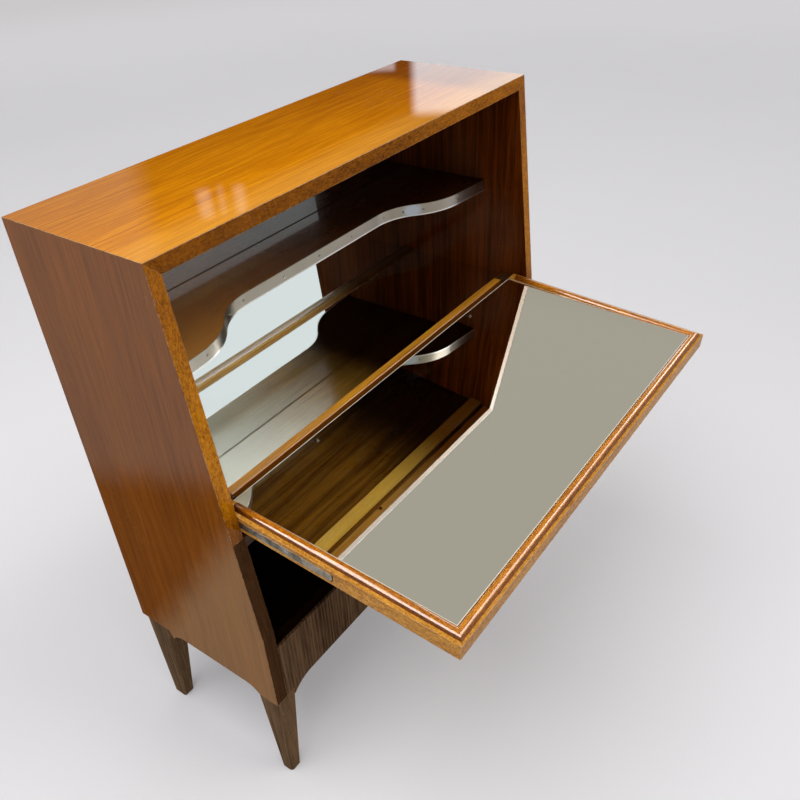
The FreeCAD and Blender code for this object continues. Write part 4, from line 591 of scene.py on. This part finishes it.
FINISH = {
    "top_panel": TOP, "side_panel_left": SIDE, "side_panel_right": SIDE, "back_panel": BACKING,
    "top_edging": LIPPING, "edging_left": LIPPING_UP, "edging_right": LIPPING_UP,
    "stile_left": STILE, "stile_right": STILE, "niche_top": NICHE, "niche_floor": NICHE,
    "mid_rail": RAIL, "rear_rail": RAIL, "apron": APRON, "apron_facing": FACING,
    "front_leg_left": LEG, "front_leg_right": LEG, "rear_leg_left": LEG, "rear_leg_right": LEG,
    "bar_deck": BACKING, "deck_bearers": BACKING, "deck_nosing": NOSING, "floor_mirror": GLASS,
    "back_mirror_lower": GLASS, "back_mirror_upper": GLASS, "back_moulding": MOULDING,
    "closing_batten": BATTEN, "shelf": SHELF, "shelf_strip": ALUMINIUM, "strip_screws": SCREW,
    "stop_block_left": RAIL, "stop_block_right": RAIL, "pivot_bush_left": BRASS, "pivot_bush_right": BRASS,
    "flap_core": FLAP_FACE, "flap_edge_front": FLAP_FRONT, "flap_edge_left": FLAP_SIDE,
    "flap_edge_right": FLAP_SIDE, "bead_front": BEAD, "bead_left": BEAD_SIDE, "bead_right": BEAD_SIDE,
    "flap_mirror": FLAP_GLASS, "mirror_clips": CLIP, "hinge_plate_left": STEEL,
    "hinge_plate_right": STEEL, "hinge_screws": SCREW, "lock_case": BRASS, "lock_bolt": SCREW,
    "key_bush": BRASS,
}
# faces of a board that show a second finish: the board, the finish and the side its faces look to
SECOND_FACES = [
    ("top_panel", CEILING, DOWNWARD),
    ("side_panel_left", INNER, TO_RIGHT),
    ("side_panel_right", INNER, TO_LEFT),
    ("shelf", SHELF_UNDER, DOWNWARD),
    ("top_edging", LIPPING_LOW, DOWNWARD),
    ("edging_left", INNER, TO_RIGHT),
    ("edging_right", INNER, TO_LEFT),
]
FACING_LIMIT = 0.9


def finish_nodes():
    for name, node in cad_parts.items():
        node.data.materials.clear()
        node.data.materials.append(FINISH[name])
    for name, finish, side in SECOND_FACES:
        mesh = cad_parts[name].data
        mesh.materials.append(finish)
        for face in mesh.polygons:
            if face.normal.dot(Vector(side)) > FACING_LIMIT:
                face.material_index = 1


# ---- screws --------------------------------------------------------------------------------------

# radius and height of the head, radius and length of the shank, and width of the slot, in metres
STRIP_SCREW = {"radius": 0.0024, "height": 0.0009, "shank": 0.0012, "length": 0.011, "slot": 0.0006}
PLATE_SCREW = {"radius": 0.0036, "height": 0.0012, "shank": 0.0019, "length": 0.0165, "slot": 0.0009}
# more than a screw's length and less than the space between two screws
SCREW_SPACE = 0.025
# turn of the first slot and from each slot to the next, in radians
FIRST_SLOT_TURN = 0.7
SLOT_TURN_STEP = 2.3


def middle_of(faces):
    return sum((face.center * face.area for face in faces), Vector()) / sum(face.area for face in faces)


def screw_heads(node):
    """The middle and the outward normal of each screw's head, from the CAD node, left to right.

    Screws at the same distance to the right follow from the rear to the front."""
    screws = []
    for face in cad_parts[node].data.polygons:
        near = [faces for faces in screws if (face.center - faces[0].center).length < SCREW_SPACE]
        if near:
            near[0].append(face)
        else:
            screws.append([face])
    heads = []
    for faces in screws:
        middle = middle_of(faces)
        outer = max(faces, key=lambda face: face.area * (face.center - middle).dot(face.normal))
        flat = [face for face in faces if face.normal.dot(outer.normal) > 0.999]
        heads.append((middle_of(flat), outer.normal.copy()))
    return sorted(heads, key=lambda head: (round(head[0].x, 4), -head[0].y))


def select_faces(mesh, wanted):
    """Selects, in edit mode, the faces for which wanted is true."""
    bpy.ops.mesh.select_mode(type="FACE")
    bpy.ops.mesh.select_all(action="DESELECT")
    bpy.ops.object.mode_set(mode="OBJECT")
    for face in mesh.polygons:
        face.select = wanted(face)
    bpy.ops.object.mode_set(mode="EDIT")


def lower_rim(mesh, above, beyond, drop):
    """Moves the vertices above a height and beyond a distance from the Z axis down by drop."""
    bpy.ops.mesh.select_mode(type="VERT")
    bpy.ops.mesh.select_all(action="DESELECT")
    bpy.ops.object.mode_set(mode="OBJECT")
    for vertex in mesh.vertices:
        vertex.select = vertex.co.z > above and vertex.co.xy.length > beyond
    bpy.ops.object.mode_set(mode="EDIT")
    bpy.ops.transform.translate(value=(0.0, 0.0, -drop))


def model_screw(name, size, domed):
    """A slotted screw along Z, its head's outer face at Z 0 and its shank below."""
    radius = size["radius"]
    height = size["height"]
    bpy.ops.object.select_all(action="DESELECT")
    bpy.ops.mesh.primitive_cylinder_add(
        vertices=32, radius=radius, depth=height, location=(0.0, 0.0, -height / 2))
    screw = bpy.context.object
    screw.name = name
    bpy.ops.object.transform_apply(location=True, rotation=True, scale=True)
    bpy.ops.object.mode_set(mode="EDIT")
    if domed:
        # two rings are laid in the outer face, and the outer rings are lowered
        select_faces(screw.data, lambda face: face.normal.z > 0.9)
        bpy.ops.mesh.inset(thickness=radius * 0.30)
        bpy.ops.mesh.inset(thickness=radius * 0.35)
        lower_rim(screw.data, -height * 0.1, radius * 0.9, height * 0.6)
        lower_rim(screw.data, -height * 0.1, radius * 0.5, height * 0.15)
    select_faces(screw.data, lambda face: face.normal.z < -0.9)
    bpy.ops.mesh.inset(thickness=radius - size["shank"])
    # the shank, and below it the point
    for part in (0.75, 0.25):
        bpy.ops.mesh.extrude_region_move(
            TRANSFORM_OT_translate={"value": (0.0, 0.0, -size["length"] * part)})
    bpy.ops.transform.resize(value=(0.15, 0.15, 1.0))
    bpy.ops.object.mode_set(mode="OBJECT")
    cut_slot(screw, radius * 3.0, size["slot"], height * 0.9)
    bpy.ops.object.shade_smooth_by_angle(angle=0.5)
    return screw


def cut_slot(screw, length, width, depth):
    """Cuts the screwdriver's slot with a bar across the head, centred on its outer face."""
    bpy.ops.mesh.primitive_cube_add(size=1.0, location=(0.0, 0.0, 0.0), scale=(length, width, depth))
    bar = bpy.context.object
    bpy.ops.object.transform_apply(location=True, rotation=True, scale=True)
    bpy.ops.object.select_all(action="DESELECT")
    screw.select_set(True)
    bpy.context.view_layer.objects.active = screw
    cut = screw.modifiers.new("slot", "BOOLEAN")
    cut.operation = "DIFFERENCE"
    cut.solver = "EXACT"
    cut.object = bar
    bpy.ops.object.modifier_apply(modifier="slot")
    bpy.data.objects.remove(bar, do_unlink=True)


def set_screws(pattern, name, node, body):
    """Copies a screw to each place of a CAD node's screws, as one object that stands for the node."""
    copies = []
    for number, (place, way) in enumerate(screw_heads(node)):
        copy = pattern.copy()
        copy.data = pattern.data.copy()
        turn = way.to_track_quat("Z", "Y").to_matrix().to_4x4()
        slot_turn = Matrix.Rotation(FIRST_SLOT_TURN + SLOT_TURN_STEP * number, 4, "Z")
        copy.data.transform(Matrix.Translation(place) @ turn @ slot_turn)
        bpy.context.scene.collection.objects.link(copy)
        copies.append(copy)
    bpy.ops.object.select_all(action="DESELECT")
    for copy in copies:
        copy.select_set(True)
    bpy.context.view_layer.objects.active = copies[0]
    bpy.ops.object.join()
    row = bpy.context.object
    row.name = name
    row.data.materials.clear()
    row.data.materials.append(SCREW)
    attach(row, body)
    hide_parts(node)
    bpy.ops.object.select_all(action="DESELECT")
    bpy.data.objects.remove(pattern, do_unlink=True)


def model_screws():
    """Sets slotted screws in the place of the CAD nodes' plain ones."""
    small = model_screw("small_screw", STRIP_SCREW, True)
    set_screws(small, "slotted_strip_screws", "strip_screws", "case")
    large = model_screw("large_screw", PLATE_SCREW, False)
    set_screws(large, "slotted_hinge_screws", "hinge_screws", "flap")


# ---- room ----------------------------------------------------------------------------------------

# windows of the room, which only glossy rays show: heading and height of the middle, half width and
# half height with the blur of the border, all in degrees, then the colour and its strength
WINDOWS = [
    (142.0, 50.0, 24.0, 14.0, 3.0, (1.0, 0.98, 0.96, 1.0), 7.0),
    (136.7, 28.0, 14.3, 8.0, 3.0, (0.95, 0.97, 1.0, 1.0), 1.06),
    (104.0, 43.0, 13.0, 12.0, 3.0, (1.0, 0.97, 0.92, 1.0), 3.0),
    (119.0, 54.0, 10.0, 6.0, 3.0, (1.0, 0.98, 0.96, 1.0), 14.0),
    (107.0, 45.0, 8.0, 6.0, 3.0, (1.0, 0.98, 0.96, 1.0), 14.0),
    (99.0, 35.0, 8.0, 5.0, 3.0, (1.0, 0.98, 0.96, 1.0), 12.0),
    (-25.0, 53.0, 48.0, 17.0, 3.0, (1.0, 0.97, 0.94, 1.0), 15.0),
    (69.9, 4.0, 14.8, 11.8, 0.4, (0.86, 0.95, 1.0, 1.0), 3.1),
    (52.7, 12.4, 1.2, 0.7, 0.2, (0.95, 0.97, 1.0, 1.0), 1.6),
    (39.8, 20.3, 0.45, 0.9, 0.35, (1.0, 1.0, 0.95, 1.0), 1.3),
    (41.0, 20.2, 0.15, 0.9, 0.35, (1.0, 1.0, 0.95, 1.0), 0.9),
    (42.3, 20.3, 0.35, 0.9, 0.35, (1.0, 1.0, 0.95, 1.0), 1.1),
    (20.0, 14.0, 15.6, 11.0, 1.2, (1.0, 0.96, 0.94, 1.0), 0.55),
]
# share of the first window in the plain light, and that light's colour there
KEY_SHARE = 0.6
KEY_LIGHT = (7.0, 6.9, 6.8, 1.0)
# plain light from below and from above, and the heights in degrees between which it changes
PLAIN_BELOW = (0.22, 0.22, 0.22, 1.0)
PLAIN_ABOVE = (0.38, 0.38, 0.385, 1.0)
PLAIN_CHANGE = (-20.0, 20.0)
# the room has one dark wall in a pale room: its heading, and the half widths and heights in degrees
# between which it gives way to the pale room
DARK_WALL = (0.030, 0.028, 0.026, 1.0)
PALE_ROOM = (0.44, 0.415, 0.36, 1.0)
DARK_WALL_HEADING = 45.0
DARK_WALL_WIDTH = (50.0, 80.0)
DARK_WALL_HEIGHT = (18.0, 32.0)
LAMP_SIZE = 2.2
LAMP_POWER = 50.0
LAMP_PLACE = (-1.0, 0.1, 3.0)
LAMP_AIM = Vector((0.0, 0.1, 0.5))


def light_room():
    """The room around the cabinet, which polished faces show, and a soft lamp above it."""
    world = bpy.data.worlds.new("room")
    bpy.context.scene.world = world
    world.use_nodes = True
    tree = world.node_tree
    way = add_node(tree, "ShaderNodeTexCoord").outputs["Generated"]
    parts = add_node(tree, "ShaderNodeSeparateXYZ", {0: way}).outputs
    heading = calc(tree, "MULTIPLY", calc(tree, "ARCTAN2", parts["X"], parts["Y"]), math.degrees(1.0))
    height = calc(tree, "MULTIPLY", calc(tree, "ARCSINE", parts["Z"]), math.degrees(1.0))
    upper = stretch(tree, height, *DARK_WALL_HEIGHT, 0.0, 1.0, True)
    aside = calc(tree, "ABSOLUTE", calc(tree, "SUBTRACT", heading, DARK_WALL_HEADING))
    behind = stretch(tree, aside, *DARK_WALL_WIDTH, 0.0, 1.0, True)
    light = calc(tree, "MAXIMUM", upper, behind)
    colour = blend_colours(tree, light, DARK_WALL, PALE_ROOM)
    masks = []
    for turn, rise, half_width, half_height, blur, shade, strength in WINDOWS:
        across = calc(tree, "ABSOLUTE", calc(tree, "SUBTRACT", heading, turn))
        along = calc(tree, "ABSOLUTE", calc(tree, "SUBTRACT", height, rise))
        inside_width = stretch(tree, across, half_width + blur, half_width - blur, 0.0, 1.0, True)
        inside_height = stretch(tree, along, half_height + blur, half_height - blur, 0.0, 1.0, True)
        mask = calc(tree, "MULTIPLY", inside_width, inside_height)
        bright = tuple(part * strength for part in shade[:3]) + (1.0,)
        colour = blend_colours(tree, mask, colour, bright)
        masks.append(mask)
    # plain light: an even room, brighter toward the first window
    plain = blend_colours(tree, stretch(tree, height, *PLAIN_CHANGE), PLAIN_BELOW, PLAIN_ABOVE)
    plain = blend_colours(tree, calc(tree, "MULTIPLY", masks[0], KEY_SHARE), plain, KEY_LIGHT)
    rays = add_node(tree, "ShaderNodeLightPath").outputs
    colour = blend_colours(tree, rays["Is Glossy Ray"], plain, colour)
    colour = blend_colours(tree, rays["Is Camera Ray"], colour, tone(205, 204, 205))
    tree.links.new(colour, tree.nodes["Background"].inputs["Color"])
    lamp = bpy.data.lights.new("ceiling lamp", "AREA")
    lamp.size = LAMP_SIZE
    lamp.energy = LAMP_POWER
    holder = bpy.data.objects.new("ceiling lamp", lamp)
    holder.location = LAMP_PLACE
    aim = LAMP_AIM - holder.location
    holder.rotation_euler = aim.to_track_quat("-Z", "Y").to_euler()
    holder.visible_glossy = False
    bpy.context.scene.collection.objects.link(holder)


FLOOR_WIDTH = 60.0
# distance from the cabinet over which the floor turns into the backdrop
FLOOR_FADE = (4.5, 9.5)
# share of the floor's look to the camera that is its own glow, near and far
GLOW_SHARE = (0.18, 1.0)


def lay_floor():
    """A pale floor that glows a little to the camera and takes the cabinet's shadow."""
    bpy.ops.mesh.primitive_plane_add(size=FLOOR_WIDTH, location=(0.0, 0.0, 0.0))
    floor = bpy.context.object
    floor.name = "floor"
    material, tree, shader = new_material("pale floor")
    place = add_node(tree, "ShaderNodeTexCoord").outputs["Object"]
    cloud = stretch(tree, noise(tree, place, 0.8, 3.0), 0.3, 0.7)
    floor_colour = blend_colours(tree, cloud, tone(239, 238, 240), tone(236, 235, 237))
    set_shader(tree, shader, {"Base Color": floor_colour, "Roughness": 0.9, "Specular IOR Level": 0.0})
    distance = add_node(tree, "ShaderNodeVectorMath", {0: place}, operation="LENGTH").outputs["Value"]
    far = stretch(tree, distance, *FLOOR_FADE, 0.0, 1.0, True)
    glow_colour = blend_colours(tree, far, tone(236, 234, 237), tone(203, 201, 202))
    glow = add_node(tree, "ShaderNodeEmission", {"Color": glow_colour, "Strength": 1.0}).outputs[0]
    share = calc(tree, "MULTIPLY", add_node(tree, "ShaderNodeLightPath").outputs["Is Camera Ray"],
                 stretch(tree, far, 0.0, 1.0, *GLOW_SHARE))
    mixed = add_node(tree, "ShaderNodeMixShader", {0: share, 1: shader.outputs[0], 2: glow}).outputs[0]
    tree.links.new(mixed, tree.nodes["Material Output"].inputs["Surface"])
    floor.data.materials.append(material)
    bpy.ops.object.select_all(action="DESELECT")


finish_nodes()
model_screws()
lay_floor()
light_room()
place_camera()
bpy.context.scene.view_settings.view_transform = "Standard"
